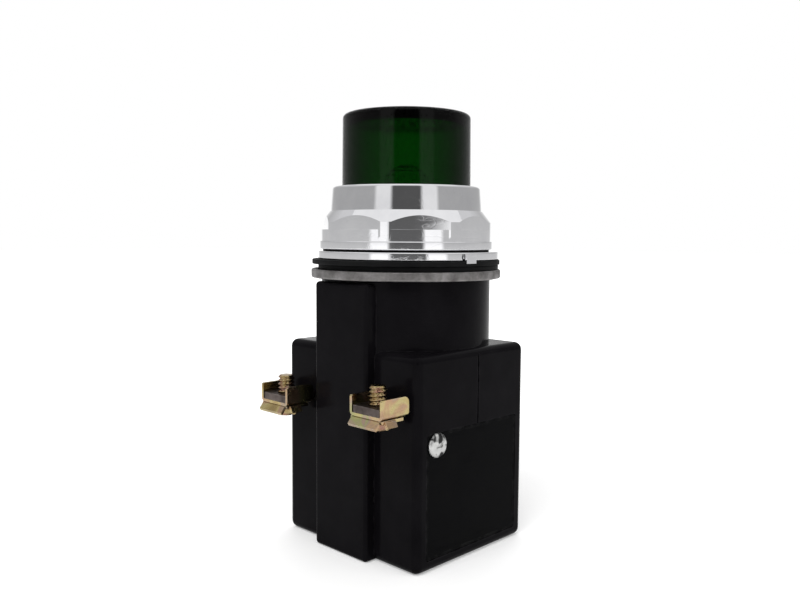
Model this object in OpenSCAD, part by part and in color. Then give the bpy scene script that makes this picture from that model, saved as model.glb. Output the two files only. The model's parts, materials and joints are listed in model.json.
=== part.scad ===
// Heavy-duty 30.5 mm panel pilot light with a step-down transformer in the body.
// Millimetres. The rear face rests on z = 0, the lens points along +Z and the
// two wire terminals stand out of the -Y side. The stack of rings is closed,
// with no panel between the two gaskets.

/* [Housing] */
// Width of the box across X
housing_w = 39.1; // [38.6:0.1:44]
// Depth of the box across Y, without the ribs
housing_d = 33.4; // [33:0.1:38]
// Height of the box
housing_h = 42.4; // [41:0.1:48]
// Thickness of the box walls
wall_t = 2; // [1.7:0.1:2.2]
// Rounding of the outer edges of the box
edge_r = 1.6; // [0.8:0.1:2]
// Thickness of the box roof under the neck
roof_t = 2.2; // [1.6:0.1:4]
// Diameter of the round neck
neck_d = 36.2; // [35:0.1:38]
// Height of the neck above the box
neck_h = 13.7; // [11:0.1:20]
// Width of the flat ribs down both broad sides
rib_w = 15.6; // [12:0.1:16.4]
// Height of the ribs above the box sides
rib_proud = 2.3; // [1.8:0.1:3]
// Rounding of the rib edges
rib_r = 0.8; // [0.4:0.1:1]
// Distance from the rib top to the neck top
rib_top_gap = 0.5; // [0.2:0.1:4]
// Width of the parting groove on the label side
groove_w = 0.4; // [0.2:0.1:1]
// Depth of the parting groove
groove_deep = 0.3; // [0.1:0.1:0.6]
// Offset of the parting groove from the middle
groove_y = 1.2; // [-3:0.1:3]
// Diameter of the two screw posts inside
post_d = 6.2; // [6:0.1:6.6]
// Height of the screw posts
post_h = 18; // [12:1:24]

/* [Label place] */
// Width of the bare rating plate
plate_w = 27.8; // [20:0.1:28.5]
// Height of the bare rating plate
plate_h = 24.6; // [20:0.1:25]
// Thickness of the rating plate
plate_t = 0.3; // [0.2:0.05:0.5]
// Height of the lower edge of the label recess
plate_z = 2.3; // [2:0.1:4]
// Depth of the label recess
recess_deep = 0.4; // [0.3:0.05:0.6]
// Gap around the plate in its recess
plate_gap = 0.1; // [0.05:0.05:0.3]
// Diameter of the plate rivet head
rivet_head_d = 4.9; // [3:0.1:5.4]
// Height of the rivet head
rivet_head_h = 0.9; // [0.5:0.1:1.4]
// Diameter of the rivet shank
rivet_d = 2; // [1.4:0.1:2.6]
// Inset of the rivet from the plate's side edge
rivet_in_y = 2.7; // [2.7:0.1:5]
// Inset of the rivet from the plate's top edge
rivet_in_z = 2.2; // [1.8:0.1:5]

/* [Rear cover] */
// Thickness of the rear cover
cover_t = 2.5; // [2.2:0.1:4]
// Gap between the cover and the box walls
cover_gap = 0.1; // [0.05:0.05:0.3]
// Diameter of the cover screw shanks
cover_screw_d = 2.5; // [2:0.1:2.9]
// Length of the cover screws under the head
cover_screw_l = 9; // [6:0.5:12]
// Diameter of the cover screw heads
cover_head_d = 4.8; // [4:0.1:4.9]
// Height of the cover screw heads
cover_head_h = 1.2; // [0.8:0.1:1.5]
// Depth of a head below the rear face
cover_head_sunk = 0.2; // [0.1:0.1:0.6]

/* [Bushing] */
// Diameter of the threaded bushing over its crests
bushing_d = 29.96; // [29.8:0.02:30.2]
// Height of the bushing above the neck
bushing_out_h = 15.5; // [15:0.1:15.8]
// Depth of the bushing in the neck
bushing_in_h = 9.7; // [8:0.1:10.5]
// Pitch of the bushing thread
bushing_pitch = 1.41; // [1:0.01:2]
// Depth of the thread grooves
thread_deep = 0.5; // [0.3:0.05:0.6]
// Diameter of the lens thread in the bushing
lens_bore_d = 26.1; // [25.6:0.02:26.2]
// Depth of the lens thread in the bushing
lens_bore_h = 7.4; // [7:0.1:8]
// Diameter of the plain bore under the lens thread
bushing_bore_d = 23.2; // [22:0.1:24]

/* [Washer, gaskets and trim ring] */
// Diameter of the mounting washer
washer_d = 40.6; // [38:0.1:42]
// Thickness of the mounting washer
washer_t = 1.9; // [1:0.1:2.4]
// Diameter of the lower gasket
lower_gasket_d = 38.6; // [36:0.1:40]
// Thickness of the lower gasket
lower_gasket_t = 1; // [0.6:0.1:1.6]
// Inset of the upper gasket from the washer's edge
gasket_inset = 0.2; // [0:0.1:1]
// Thickness of the upper gasket
upper_gasket_t = 1.05; // [0.8:0.05:1.6]
// Diameter of the trim ring
trim_d = 38.6; // [37.4:0.1:40]
// Thickness of the trim ring
trim_t = 1.7; // [1.4:0.1:2]
// Width of the locating tab on the trim ring
tab_w = 2.8; // [2:0.1:4]
// Thickness of the locating tab
tab_t = 0.5; // [0.4:0.1:0.8]
// Overhang of the tab below the trim ring
tab_drop = 0.7; // [0.3:0.1:0.9]
// Direction of the tab around the axis
tab_turn = -6.5; // [-40:0.5:40]
// Sideways shift of the loose rings
ring_shift = 0.5; // [0:0.05:0.6]
// Direction of the sideways shift
ring_shift_turn = 44.5; // [0:0.5:90]
// Gap around the bushing in the washer and upper gasket
ring_gap = 0.15; // [0.1:0.05:0.3]
// Thickness of the thin gasket under the nut
nut_gasket_t = 0.4; // [0.3:0.05:0.8]
// Diameter of the thin gasket under the nut
nut_gasket_d = 35.6; // [34:0.1:36.2]

/* [Retaining nut] */
// Diameter of the nut's bottom flange
nut_flange_d = 37; // [36.4:0.1:37.4]
// Height of the bottom flange
nut_flange_h = 1.7; // [1:0.1:2]
// Diameter of the skirt above the flange
nut_skirt_d = 36.3; // [35.6:0.1:36.3]
// Height of the skirt
nut_skirt_h = 2.35; // [1.6:0.05:2.6]
// Width of the octagon across its flats
nut_flats = 34.3; // [33.6:0.1:34.8]
// Height of the octagon's straight part
nut_octagon_h = 1.5; // [1:0.1:1.8]
// Height of the chamfer cone on the octagon
nut_cone_h = 2.4; // [1.8:0.1:2.6]
// Diameter at the top of the chamfer cone
nut_cone_d = 32.6; // [32.3:0.1:33]
// Bottom diameter of the upper collar
nut_collar_d = 32.2; // [31.8:0.1:32.2]
// Top diameter of the upper collar
nut_top_d = 31.5; // [31.2:0.1:31.7]
// Height of the upper collar
nut_collar_h = 5.15; // [4.4:0.05:5.6]
// Rounding of the collar's top edge
nut_top_r = 0.6; // [0.3:0.1:0.8]
// Thickness of the lip around the lens
nut_lip_h = 2.8; // [2:0.1:3]
// Gap between the lip and the lens
lip_gap = 0.4; // [0.3:0.05:0.45]
// Play between the nut and the bushing crests
nut_play = 0.06; // [0.03:0.01:0.09]
// Direction of one octagon corner
nut_turn = -13.5; // [-22.5:0.5:22.5]

/* [Lens] */
// Diameter of the lens at its shoulder
lens_d = 27.5; // [27.3:0.05:27.5]
// Diameter of the lens at its top
lens_top_d = 27.2; // [26.4:0.05:27.3]
// Height of the lens above its shoulder
lens_h = 17.9; // [16:0.1:22]
// Wall thickness of the lens
lens_wall = 2.2; // [1.8:0.1:2.4]
// Thickness of the lens top
lens_top_t = 2.1; // [1.4:0.1:3]
// Rounding of the top edge of the lens
lens_edge_r = 0.9; // [0.5:0.1:1.4]
// Length of the threaded skirt of the lens
lens_skirt_h = 8; // [6:0.1:8.2]
// Wall thickness of the threaded skirt
lens_skirt_wall = 2.2; // [1.6:0.1:2.4]
// Play of the lens in its thread
lens_play = 0.05; // [0.03:0.01:0.09]
// Pitch of the lens thread
lens_pitch = 1.5; // [1.2:0.05:2]
// Thickness of the lens gasket
lens_gasket_t = 1; // [0.9:0.05:1.4]
// Inset of the lens gasket from the lens's edge
lens_gasket_in = 0.15; // [0:0.05:0.2]

/* [Lamp and socket] */
// Thickness of the socket base disc
socket_base_t = 3; // [2.4:0.1:3.4]
// Outer diameter of the socket tube
socket_d = 10.7; // [10.5:0.1:12]
// Inner diameter of the socket tube
socket_bore_d = 9.9; // [9.8:0.05:10.1]
// Height of the socket tube
socket_h = 12.6; // [11:0.1:14]
// Diameter of the foot flange of the socket
socket_foot_d = 15; // [13:0.1:18]
// Thickness of the foot flange
socket_foot_t = 0.5; // [0.3:0.05:0.8]
// Width of the bayonet slots
bayonet_w = 2.1; // [1.9:0.1:2.4]
// Diameter of the lamp's bayonet pins
bayonet_pin_d = 1.7; // [1.2:0.1:1.8]
// Diameter of the lamp base
lamp_base_d = 9.2; // [8.8:0.05:9.6]
// Height of the lamp base
lamp_base_h = 9.8; // [9:0.1:11]
// Diameter of the lamp glass
lamp_d = 10.2; // [9.4:0.1:12]
// Height of the lamp glass above its base
lamp_h = 17; // [12:0.1:20]
// Wall thickness of the lamp glass
lamp_wall = 0.6; // [0.4:0.05:0.8]
// Diameter of the glass stem inside the lamp
stem_d = 3.2; // [2.6:0.1:5]
// Thickness of the filament's support wires
support_d = 0.4; // [0.3:0.05:0.6]
// Half length of the filament
filament_half = 2.6; // [2:0.1:3.4]
// Thickness of the coiled filament
filament_d = 0.5; // [0.4:0.05:0.8]
// Wire diameter of the contact spring
spring_wire_d = 0.6; // [0.4:0.05:0.7]
// Coil diameter of the contact spring
spring_d = 6.4; // [5:0.1:7.6]
// Height of the closed contact spring
spring_h = 2.5; // [2:0.1:3]
// Number of turns of the contact spring
spring_turns = 2.5; // [1.5:0.5:3]
// Thickness of the contact insulator
insulator_t = 0.8; // [0.6:0.1:1.4]
// Diameter of the centre contact's stem
contact_d = 1.8; // [1.2:0.1:2.4]
// Diameter of the centre contact's head
contact_head_d = 3.6; // [3:0.1:4.4]
// Height of the centre contact's head
contact_head_h = 0.7; // [0.4:0.1:1]

/* [Transformer] */
// Width of the core
core_w = 30; // [28:0.1:30.6]
// Thickness of the core's stack
core_stack = 16; // [12:0.1:16.4]
// Width of the core's outer legs and bars
core_leg = 5; // [4:0.1:5]
// Height of the coil windows
window_h = 15; // [12:0.1:16]
// Thickness of the bobbin walls
bobbin_t = 0.8; // [0.6:0.1:1]
// Gap between the bobbin and the core
bobbin_gap = 0.1; // [0.05:0.05:0.2]
// Reach of the bobbin flanges beyond the stack
flange_reach = 4.7; // [4.4:0.1:4.9]
// Gap between a winding and the flange edge
winding_inset = 0.4; // [0.2:0.1:1]
// Diameter of the insulated leads
lead_d = 0.9; // [0.6:0.1:1]
// Sideways distance of the leads where they leave the windings
lead_x = 5; // [3:0.1:6.5]
// Height of the leads' bend above the core
lead_over = 1.2; // [1:0.1:1.4]

/* [Wire terminals] */
// Distance of the terminal screws from the middle
terminal_x = 14; // [13.6:0.1:14]
// Distance of the screw axis from the box side
terminal_out = 4.9; // [4.8:0.1:6]
// Height of the right terminal plate's top
terminal_right_z = 33.4; // [31.5:0.1:36]
// Height of the left terminal plate's top
terminal_left_z = 31.9; // [31.5:0.1:36]
// Width of the terminal plate outside the box
term_plate_w = 7.4; // [6.6:0.1:7.6]
// Width of the plate's tail through the wall
term_tail_w = 5; // [3.6:0.1:5.4]
// Thickness of the terminal plate
term_plate_t = 1.5; // [1.2:0.1:1.7]
// Reach of the plate in front of the screw axis
term_front = 3.2; // [3:0.1:3.6]
// Sheet thickness of the two wire clamps
clamp_t = 0.6; // [0.5:0.05:0.8]
// Gap between the clamp ears and the plate
ear_gap = 0.1; // [0.05:0.05:0.2]
// Height of the clamp ears above the plate
ear_up = 1.8; // [1:0.1:2.4]
// Length of the clamp ears
ear_l = 7; // [6:0.1:7.4]
// Rounding of the inner corners of the ears
ear_r = 1.2; // [0.4:0.1:1.6]
// Slope width of the flared flanges
flare_out = 1.3; // [0.8:0.1:1.4]
// Drop of the flared flanges
flare_drop = 1.5; // [1:0.1:1.6]
// Thread diameter of the terminal screws
term_screw_d = 3.5; // [3.4:0.1:3.8]
// Pitch of the terminal screws
term_pitch = 0.79; // [0.6:0.01:1]
// Reach of the screw tip above the plate
term_tip = 3.7; // [3.4:0.1:4.4]
// Diameter of the terminal screw heads
term_head_d = 5.4; // [5:0.1:5.6]
// Height of the terminal screw heads
term_head_h = 2; // [1.6:0.1:2.4]
// Play of the screw in the plate's threaded hole
term_play = 0.06; // [0.03:0.01:0.09]

/* [Hidden] */
$fn = 64;
bend_fn = 32;
side_y = housing_d / 2;
side_x = housing_w / 2;
cavity_x = side_x - wall_t;
cavity_y = side_y - wall_t;
neck_top = housing_h + neck_h;
rib_top = neck_top - rib_top_gap;
rib_y = side_y + rib_proud;
roof_z = housing_h - roof_t;
// Housing bores
seat_z = neck_top - bushing_in_h;
bushing_r = bushing_d / 2;
neck_bore_r = bushing_r + 0.04;
throat_r = 10.5;
// Cover and its screws
post_x = cavity_x - post_d / 2 + 0.25;
post_y = cavity_y - post_d / 2 + 0.25;
post_bore_r = cover_screw_d / 2 + 0.05;
head_pocket = cover_head_h + cover_head_sunk;
// Ring stack, from the neck upwards
washer_z = neck_top;
lower_gasket_z = washer_z + washer_t;
upper_gasket_z = lower_gasket_z + lower_gasket_t;
trim_z = upper_gasket_z + upper_gasket_t;
nut_gasket_z = trim_z + trim_t;
nut_z = nut_gasket_z + nut_gasket_t;
ring_bore_r = bushing_r + ring_gap;
upper_gasket_r = washer_d / 2 - gasket_inset;
shifted_bore_r = bushing_r + 0.1 + 0.6;
shift_x = ring_shift * cos(ring_shift_turn);
shift_y = ring_shift * sin(ring_shift_turn);
// Bushing
bushing_top = neck_top + bushing_out_h;
lens_bore_z = bushing_top - lens_bore_h;
base_pocket_r = 13;
base_r = base_pocket_r - 0.05;
// Nut levels
nut_bore_r = bushing_r + nut_play;
nut_core_r = nut_bore_r - 3;
skirt_z = nut_z + nut_flange_h;
octagon_z = skirt_z + nut_skirt_h;
cone_z = octagon_z + nut_octagon_h;
collar_z = cone_z + nut_cone_h;
nut_top = collar_z + nut_collar_h;
lip_r = lens_d / 2 + lip_gap;
lip_z = nut_top - nut_lip_h;
octagon_corner_r = nut_skirt_d / 2;
// Lens
lens_gasket_z = bushing_top;
lens_z = lens_gasket_z + lens_gasket_t;
lens_top = lens_z + lens_h;
lens_thread_r = lens_bore_d / 2 - lens_play;
lens_skirt_z = lens_z - lens_skirt_h;
// Socket and lamp
base_z = seat_z;
socket_z = base_z + socket_base_t;
insulator_z = socket_z + spring_h;
contact_z = insulator_z + insulator_t;
lamp_z = contact_z + contact_head_h;
lamp_base_r = lamp_base_d / 2;
pin_z = lamp_z + 4.8;
lamp_base_top = lamp_z + lamp_base_h;
tail_z = base_z - 2;
tail_x = socket_foot_d / 2 - 1.2;
// Transformer
core_z = cover_t;
window_z = core_z + core_leg;
yoke_z = window_z + window_h;
core_mid = core_leg * 2;
window_w = (core_w - core_mid) / 2 - core_leg;
bobbin_z = window_z + 0.1;
bobbin_h = window_h - 0.2;
bobbin_in_x = core_mid / 2 + bobbin_gap;
bobbin_in_y = core_stack / 2 + bobbin_gap;
bobbin_out_x = core_mid / 2 + window_w - 0.2;
bobbin_out_y = core_stack / 2 + flange_reach;
split_z = bobbin_z + bobbin_h * 0.58;
lead_y = bobbin_out_y + lead_d / 2 + 0.1;
lead_turn_z = yoke_z + core_leg + lead_over;
// Terminals
screw_y = -side_y - terminal_out;
term_front_y = screw_y - term_front;
term_hole_r = term_screw_d / 2 + term_play;
ear_in = term_plate_w / 2 + ear_gap;
ear_out = ear_in + clamp_t;
tail_end_y = -cavity_y + 2.6;

// A solid ring between two levels.
module ring(r_out, r_in, z, h) {
    translate([0, 0, z])
        difference() {
            cylinder(r = r_out, h = h);
            translate([0, 0, -1]) cylinder(r = r_in, h = h + 2);
        }
}

// A washer with a small bevel on both outer edges.
module bevelled_ring(r_out, r_in, z, h, bevel) {
    rotate_extrude()
        polygon([
            [r_in, z], [r_out - bevel, z], [r_out, z + bevel],
            [r_out, z + h - bevel], [r_out - bevel, z + h], [r_in, z + h]
        ]);
}

// V grooves around a thread, from z up to z + length.
module thread_grooves(r, z, length, pitch, deep) {
    count = floor(length / pitch);
    for (i = [0 : count - 1])
        translate([0, 0, z + (i + 0.5) * pitch])
            rotate_extrude()
                polygon([
                    [r + 0.2, -pitch * 0.42], [r + 0.2, pitch * 0.42],
                    [r - deep, 0.06], [r - deep, -0.06]
                ]);
}

// A straight rod from a to b.
module rod(a, b, d) {
    v = b - a;
    translate(a)
        rotate([0, acos(v[2] / norm(v)), atan2(v[1], v[0])])
            cylinder(d = d, h = norm(v), $fn = 24);
}

// Unit vector along v.
function unit(v) = v / norm(v);

// The ring of the previous point moved along the wire to point i.
function next_ring(ring, points, i) =
    let (
        v = unit(points[i] - points[i - 1]),
        n = i == len(points) - 1 ? v : v + unit(points[i + 1] - points[i])
    )
    [for (q = ring) q + v * (((points[i] - q) * n) / (v * n))];

// All the rings from a first ring onwards, in one list.
function wire_rings(ring, points, i) =
    i == len(points)
        ? ring
        : concat(ring, wire_rings(next_ring(ring, points, i), points, i + 1));

// A round wire with mitred bends whose first length is level.
module wire(points, d) {
    sides = 12;
    v = unit(points[1] - points[0]);
    side = cross([0, 0, 1], v);
    ring = [
        for (k = [0 : sides - 1])
            points[0] + (side * cos(k * 30) + [0, 0, 1] * sin(k * 30)) * d / 2
    ];
    skin = [
        for (i = [0 : len(points) - 2]) for (k = [0 : sides - 1])
            let (
                a = i * sides + k,
                b = i * sides + (k + 1) % sides
            )
            [a, a + sides, b + sides, b]
    ];
    first = [for (k = [0 : sides - 1]) k];
    final = [for (k = [sides - 1 : -1 : 0]) (len(points) - 1) * sides + k];
    polyhedron(points = wire_rings(ring, points, 1), faces = concat(skin, [first], [final]));
}

// A helical wire spring, its turns starting and ending flush.
module helix(coil_r, wire_r, z, h, turns) {
    steps = floor(turns * 24);
    sides = 8;
    rise = h - wire_r * 2;
    points = [
        for (i = [0 : steps]) for (k = [0 : sides - 1])
            let (
                a = 360 * turns * i / steps,
                t = 360 * k / sides,
                r = coil_r + wire_r * cos(t)
            )
            [r * cos(a), r * sin(a), z + wire_r + rise * i / steps + wire_r * sin(t)]
    ];
    sides_list = [
        for (i = [0 : steps - 1]) for (k = [0 : sides - 1])
            let (
                a = i * sides + k,
                b = i * sides + (k + 1) % sides
            )
            [a, b, b + sides, a + sides]
    ];
    first = [for (k = [sides - 1 : -1 : 0]) k];
    final = [for (k = [0 : sides - 1]) steps * sides + k];
    polyhedron(points = points, faces = concat(sides_list, [first], [final]));
}

// A block with all its edges rounded, resting on z = 0.
module soft_block(w, d, h, r) {
    hull()
        for (x = [-1, 1], y = [-1, 1], z = [r, h - r])
            translate([x * (w / 2 - r), y * (d / 2 - r), z])
                sphere(r = r, $fn = bend_fn);
}

// An upright block with rounded vertical edges.
module upright_block(w, d, h, r) {
    hull()
        for (x = [-1, 1], y = [-1, 1])
            translate([x * (w / 2 - r), y * (d / 2 - r), 0])
                cylinder(r = r, h = h, $fn = bend_fn);
}

module housing() {
    color([0.06, 0.06, 0.07])
        difference() {
            union() {
                difference() {
                    soft_block(housing_w, housing_d, housing_h, edge_r);
                    translate([-cavity_x, -cavity_y, -1])
                        cube([cavity_x * 2, cavity_y * 2, roof_z + 1]);
                }
                for (s = [-1, 1]) housing_rib(s);
                translate([0, 0, roof_z]) cylinder(d = neck_d, h = neck_top - roof_z);
                for (s = [-1, 1])
                    translate([s * post_x, s * post_y, cover_t])
                        cylinder(d = post_d, h = post_h);
            }
            translate([0, 0, roof_z - 1]) cylinder(r = throat_r, h = neck_h + roof_t);
            translate([0, 0, seat_z]) cylinder(r = neck_bore_r, h = bushing_in_h + 1);
            for (s = [-1, 1])
                translate([s * post_x, s * post_y, 0])
                    cylinder(r = post_bore_r, h = cover_screw_l + head_pocket + 1);
            terminal_slot(terminal_x, terminal_right_z);
            terminal_slot(-terminal_x, terminal_left_z);
            translate([side_x - recess_deep, -plate_w / 2 - plate_gap, plate_z])
                cube([recess_deep + 1, plate_w + plate_gap * 2, plate_h + plate_gap * 2]);
            translate([side_x - groove_deep, groove_y - groove_w / 2, plate_z + plate_h])
                cube([groove_deep + 1, groove_w, housing_h]);
            rivet_place()
                rotate([0, -90, 0]) cylinder(d = rivet_d + 0.1, h = wall_t + 1);
        }
}

// One flat rib down a broad side, s = -1 for the terminal side.
module housing_rib(s) {
    half = rib_w / 2 - rib_r;
    inner = side_y - wall_t / 2;
    hull()
        for (x = [-half, half], z = [rib_r, rib_top - rib_r]) {
            translate([x, s * (rib_y - rib_r), z]) sphere(r = rib_r, $fn = bend_fn);
            translate([x, s * inner, z])
                rotate([90, 0, 0])
                    cylinder(r = rib_r, h = 0.2, center = true, $fn = bend_fn);
        }
}

// The slot in the wall for a terminal plate's tail.
module terminal_slot(x, z) {
    translate([x - term_tail_w / 2 - 0.05, -side_y - 1, z - term_plate_t])
        cube([term_tail_w + 0.1, wall_t + 2, term_plate_t + 0.05]);
}

// Moves its children to the rivet's place on the label side.
module rivet_place() {
    translate([
        side_x - recess_deep,
        -plate_w / 2 + rivet_in_y,
        plate_z + plate_gap + plate_h - rivet_in_z
    ])
        children();
}

module rear_cover() {
    w = (cavity_x - cover_gap) * 2;
    d = (cavity_y - cover_gap) * 2;
    color([0.09, 0.09, 0.1])
        difference() {
            translate([-w / 2, -d / 2, 0]) cube([w, d, cover_t]);
            for (s = [-1, 1])
                translate([s * post_x, s * post_y, -1]) {
                    cylinder(r = post_bore_r, h = cover_t + 2);
                    cylinder(d = cover_head_d + 0.3, h = head_pocket + 1);
                }
        }
}

module cover_screw(s) {
    color([0.7, 0.7, 0.68])
        translate([s * post_x, s * post_y, cover_head_sunk])
            difference() {
                union() {
                    cylinder(d = cover_head_d, h = cover_head_h);
                    cylinder(d = cover_screw_d, h = cover_head_h + cover_screw_l);
                }
                translate([-cover_head_d, -0.4, -1]) cube([cover_head_d * 2, 0.8, 1.6]);
            }
}

module cover_screw_right() cover_screw(1);

module cover_screw_left() cover_screw(-1);

module rating_plate() {
    color([0.03, 0.03, 0.03])
        difference() {
            translate([side_x - recess_deep, -plate_w / 2, plate_z + plate_gap])
                cube([plate_t, plate_w, plate_h]);
            rivet_place()
                translate([-1, 0, 0])
                    rotate([0, 90, 0]) cylinder(d = rivet_d + 0.1, h = 3);
        }
}

module plate_rivet() {
    color([0.9, 0.9, 0.88])
        rivet_place()
            rotate([0, 90, 0]) {
                translate([0, 0, plate_t])
                    rotate_extrude()
                        polygon([
                            [0, 0], [rivet_head_d / 2, 0],
                            [rivet_head_d / 2, rivet_head_h * 0.3],
                            [rivet_head_d * 0.42, rivet_head_h * 0.7],
                            [rivet_head_d * 0.25, rivet_head_h * 0.95],
                            [0, rivet_head_h]
                        ]);
                translate([0, 0, -wall_t + recess_deep])
                    cylinder(d = rivet_d, h = wall_t - recess_deep + plate_t + 0.2);
            }
}

module bushing() {
    color([0.72, 0.72, 0.7])
        difference() {
            translate([0, 0, seat_z]) cylinder(r = bushing_r, h = bushing_top - seat_z);
            translate([0, 0, seat_z - 1])
                cylinder(r = base_pocket_r, h = socket_base_t + 1);
            translate([0, 0, seat_z - 1])
                cylinder(d = bushing_bore_d, h = bushing_top - seat_z + 2);
            translate([0, 0, lens_bore_z]) cylinder(d = lens_bore_d, h = lens_bore_h + 1);
            thread_grooves(bushing_r, neck_top + 0.6, bushing_out_h - 1.2,
                bushing_pitch, thread_deep);
        }
}

module mounting_washer() {
    color([0.62, 0.61, 0.58])
        bevelled_ring(washer_d / 2, ring_bore_r, washer_z, washer_t, 0.35);
}

module lower_gasket() {
    color([0.05, 0.05, 0.05])
        translate([shift_x, shift_y, 0])
            ring(lower_gasket_d / 2, shifted_bore_r, lower_gasket_z, lower_gasket_t);
}

module upper_gasket() {
    color([0.07, 0.07, 0.07])
        bevelled_ring(upper_gasket_r, ring_bore_r, upper_gasket_z,
            upper_gasket_t, 0.2);
}

module trim_ring() {
    tab_r = max(trim_d / 2 + ring_shift, upper_gasket_r) + 0.1;
    color([0.85, 0.85, 0.86]) {
        translate([shift_x, shift_y, 0])
            bevelled_ring(trim_d / 2, shifted_bore_r, trim_z, trim_t, 0.25);
        rotate([0, 0, tab_turn]) {
            translate([trim_d / 2 - 1.6, -tab_w / 2, trim_z + 0.5])
                cube([tab_r + tab_t - trim_d / 2 + 1.6, tab_w, trim_t - 0.8]);
            translate([tab_r, -tab_w / 2, trim_z - tab_drop])
                cube([tab_t, tab_w, tab_drop + trim_t - 0.3]);
        }
    }
}

module nut_gasket() {
    color([0.06, 0.06, 0.06])
        ring(nut_gasket_d / 2, ring_bore_r, nut_gasket_z, nut_gasket_t);
}

module retaining_nut() {
    color([0.86, 0.87, 0.88])
        difference() {
            union() {
                bevelled_ring(nut_flange_d / 2, nut_core_r, nut_z, nut_flange_h, 0.2);
                ring(nut_skirt_d / 2, nut_core_r, skirt_z - 0.5, nut_skirt_h + 0.5);
                intersection() {
                    translate([0, 0, octagon_z - 0.5])
                        rotate([0, 0, nut_turn])
                            cylinder(
                                r = nut_flats / 2 / cos(22.5),
                                h = collar_z - octagon_z + 0.5,
                                $fn = 8
                            );
                    rotate_extrude()
                        polygon([
                            [nut_core_r, octagon_z - 0.5],
                            [octagon_corner_r, octagon_z - 0.5],
                            [octagon_corner_r, cone_z],
                            [nut_cone_d / 2, collar_z],
                            [nut_core_r, collar_z]
                        ]);
                }
                rotate_extrude()
                    polygon([
                        [nut_core_r, collar_z - 0.5],
                        [nut_collar_d / 2, collar_z - 0.5],
                        [nut_collar_d / 2, collar_z],
                        [nut_top_d / 2, nut_top - nut_top_r],
                        [nut_top_d / 2 - nut_top_r * 0.3, nut_top - nut_top_r * 0.3],
                        [nut_top_d / 2 - nut_top_r, nut_top],
                        [nut_core_r, nut_top]
                    ]);
            }
            translate([0, 0, nut_z - 1])
                cylinder(r = nut_bore_r, h = lip_z - nut_z + 1);
            translate([0, 0, nut_z - 1]) cylinder(r = lip_r, h = nut_top - nut_z + 2);
        }
}

module lens_gasket() {
    color([0.08, 0.08, 0.08])
        ring(lens_d / 2 - lens_gasket_in, lens_thread_r + 0.1, lens_gasket_z, lens_gasket_t);
}

module lens() {
    in_r = lens_d / 2 - lens_wall;
    in_top_r = lens_top_d / 2 - lens_wall;
    skirt_in_r = lens_thread_r - lens_skirt_wall;
    top_r = lens_top_d / 2;
    bend = lens_edge_r;
    color([0.02, 0.3, 0.1, 0.8])
        difference() {
            rotate_extrude()
                polygon([
                    [skirt_in_r, lens_skirt_z],
                    [lens_thread_r - 0.3, lens_skirt_z],
                    [lens_thread_r, lens_skirt_z + 0.3],
                    [lens_thread_r, lens_z],
                    [lens_d / 2, lens_z],
                    [top_r, lens_top - bend],
                    [top_r - bend * 0.076, lens_top - bend * 0.617],
                    [top_r - bend * 0.293, lens_top - bend * 0.293],
                    [top_r - bend * 0.617, lens_top - bend * 0.076],
                    [top_r - bend, lens_top],
                    [0, lens_top],
                    [0, lens_top - lens_top_t],
                    [in_top_r - 0.6, lens_top - lens_top_t],
                    [in_top_r, lens_top - lens_top_t - 0.6],
                    [in_r, lens_z + 1],
                    [skirt_in_r, lens_z - 0.5]
                ]);
            thread_grooves(lens_thread_r, lens_skirt_z + 0.5, lens_skirt_h - 1.5,
                lens_pitch, 0.4);
        }
}

module socket_base() {
    color([0.35, 0.2, 0.12])
        difference() {
            translate([0, 0, base_z]) cylinder(r = base_r, h = socket_base_t);
            translate([0, 0, base_z - 1])
                cylinder(d = contact_d + 0.1, h = socket_base_t + 2);
            translate([tail_x - 0.35, -0.85, base_z - 1])
                cube([0.7, 1.7, socket_base_t + 2]);
        }
}

module socket_shell() {
    color([0.8, 0.66, 0.3]) {
        difference() {
            union() {
                translate([0, 0, socket_z]) cylinder(d = socket_foot_d, h = socket_foot_t);
                translate([0, 0, socket_z]) cylinder(d = socket_d, h = socket_h);
            }
            translate([0, 0, socket_z - 1]) cylinder(d = socket_bore_d, h = socket_h + 2);
            for (a = [0, 180])
                rotate([0, 0, a]) {
                    translate([3, -bayonet_w / 2, pin_z - bayonet_w / 2])
                        cube([5, bayonet_w, socket_h]);
                    rotate([0, 0, 12])
                        translate([3, -bayonet_w, pin_z - bayonet_w / 2])
                            cube([5, bayonet_w * 2, bayonet_w]);
                }
        }
        translate([tail_x - 0.3, -0.8, tail_z])
            cube([0.6, 1.6, socket_z - tail_z + socket_foot_t]);
    }
}

module contact_insulator() {
    color([0.75, 0.6, 0.4])
        ring(socket_bore_d / 2 - 0.05, contact_d / 2 + 0.05, insulator_z, insulator_t);
}

module centre_contact() {
    color([0.83, 0.7, 0.35]) {
        translate([0, 0, contact_z]) cylinder(d = contact_head_d, h = contact_head_h);
        translate([0, 0, tail_z]) cylinder(d = contact_d, h = contact_z - tail_z + 0.2);
    }
}

module contact_spring() {
    color([0.75, 0.75, 0.75])
        helix(spring_d / 2, spring_wire_d / 2, socket_z, spring_h, spring_turns);
}

module lamp_base() {
    color([0.82, 0.72, 0.42]) {
        difference() {
            translate([0, 0, lamp_z]) cylinder(r = lamp_base_r, h = lamp_base_h);
            translate([0, 0, lamp_z + 1.2])
                cylinder(r = lamp_base_r - 0.4, h = lamp_base_h);
        }
        for (s = [-1, 1])
            translate([s * (lamp_base_r - 0.3), 0, pin_z])
                rotate([0, s * 90, 0]) cylinder(d = bayonet_pin_d, h = 1.2, $fn = 32);
    }
}

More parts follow.
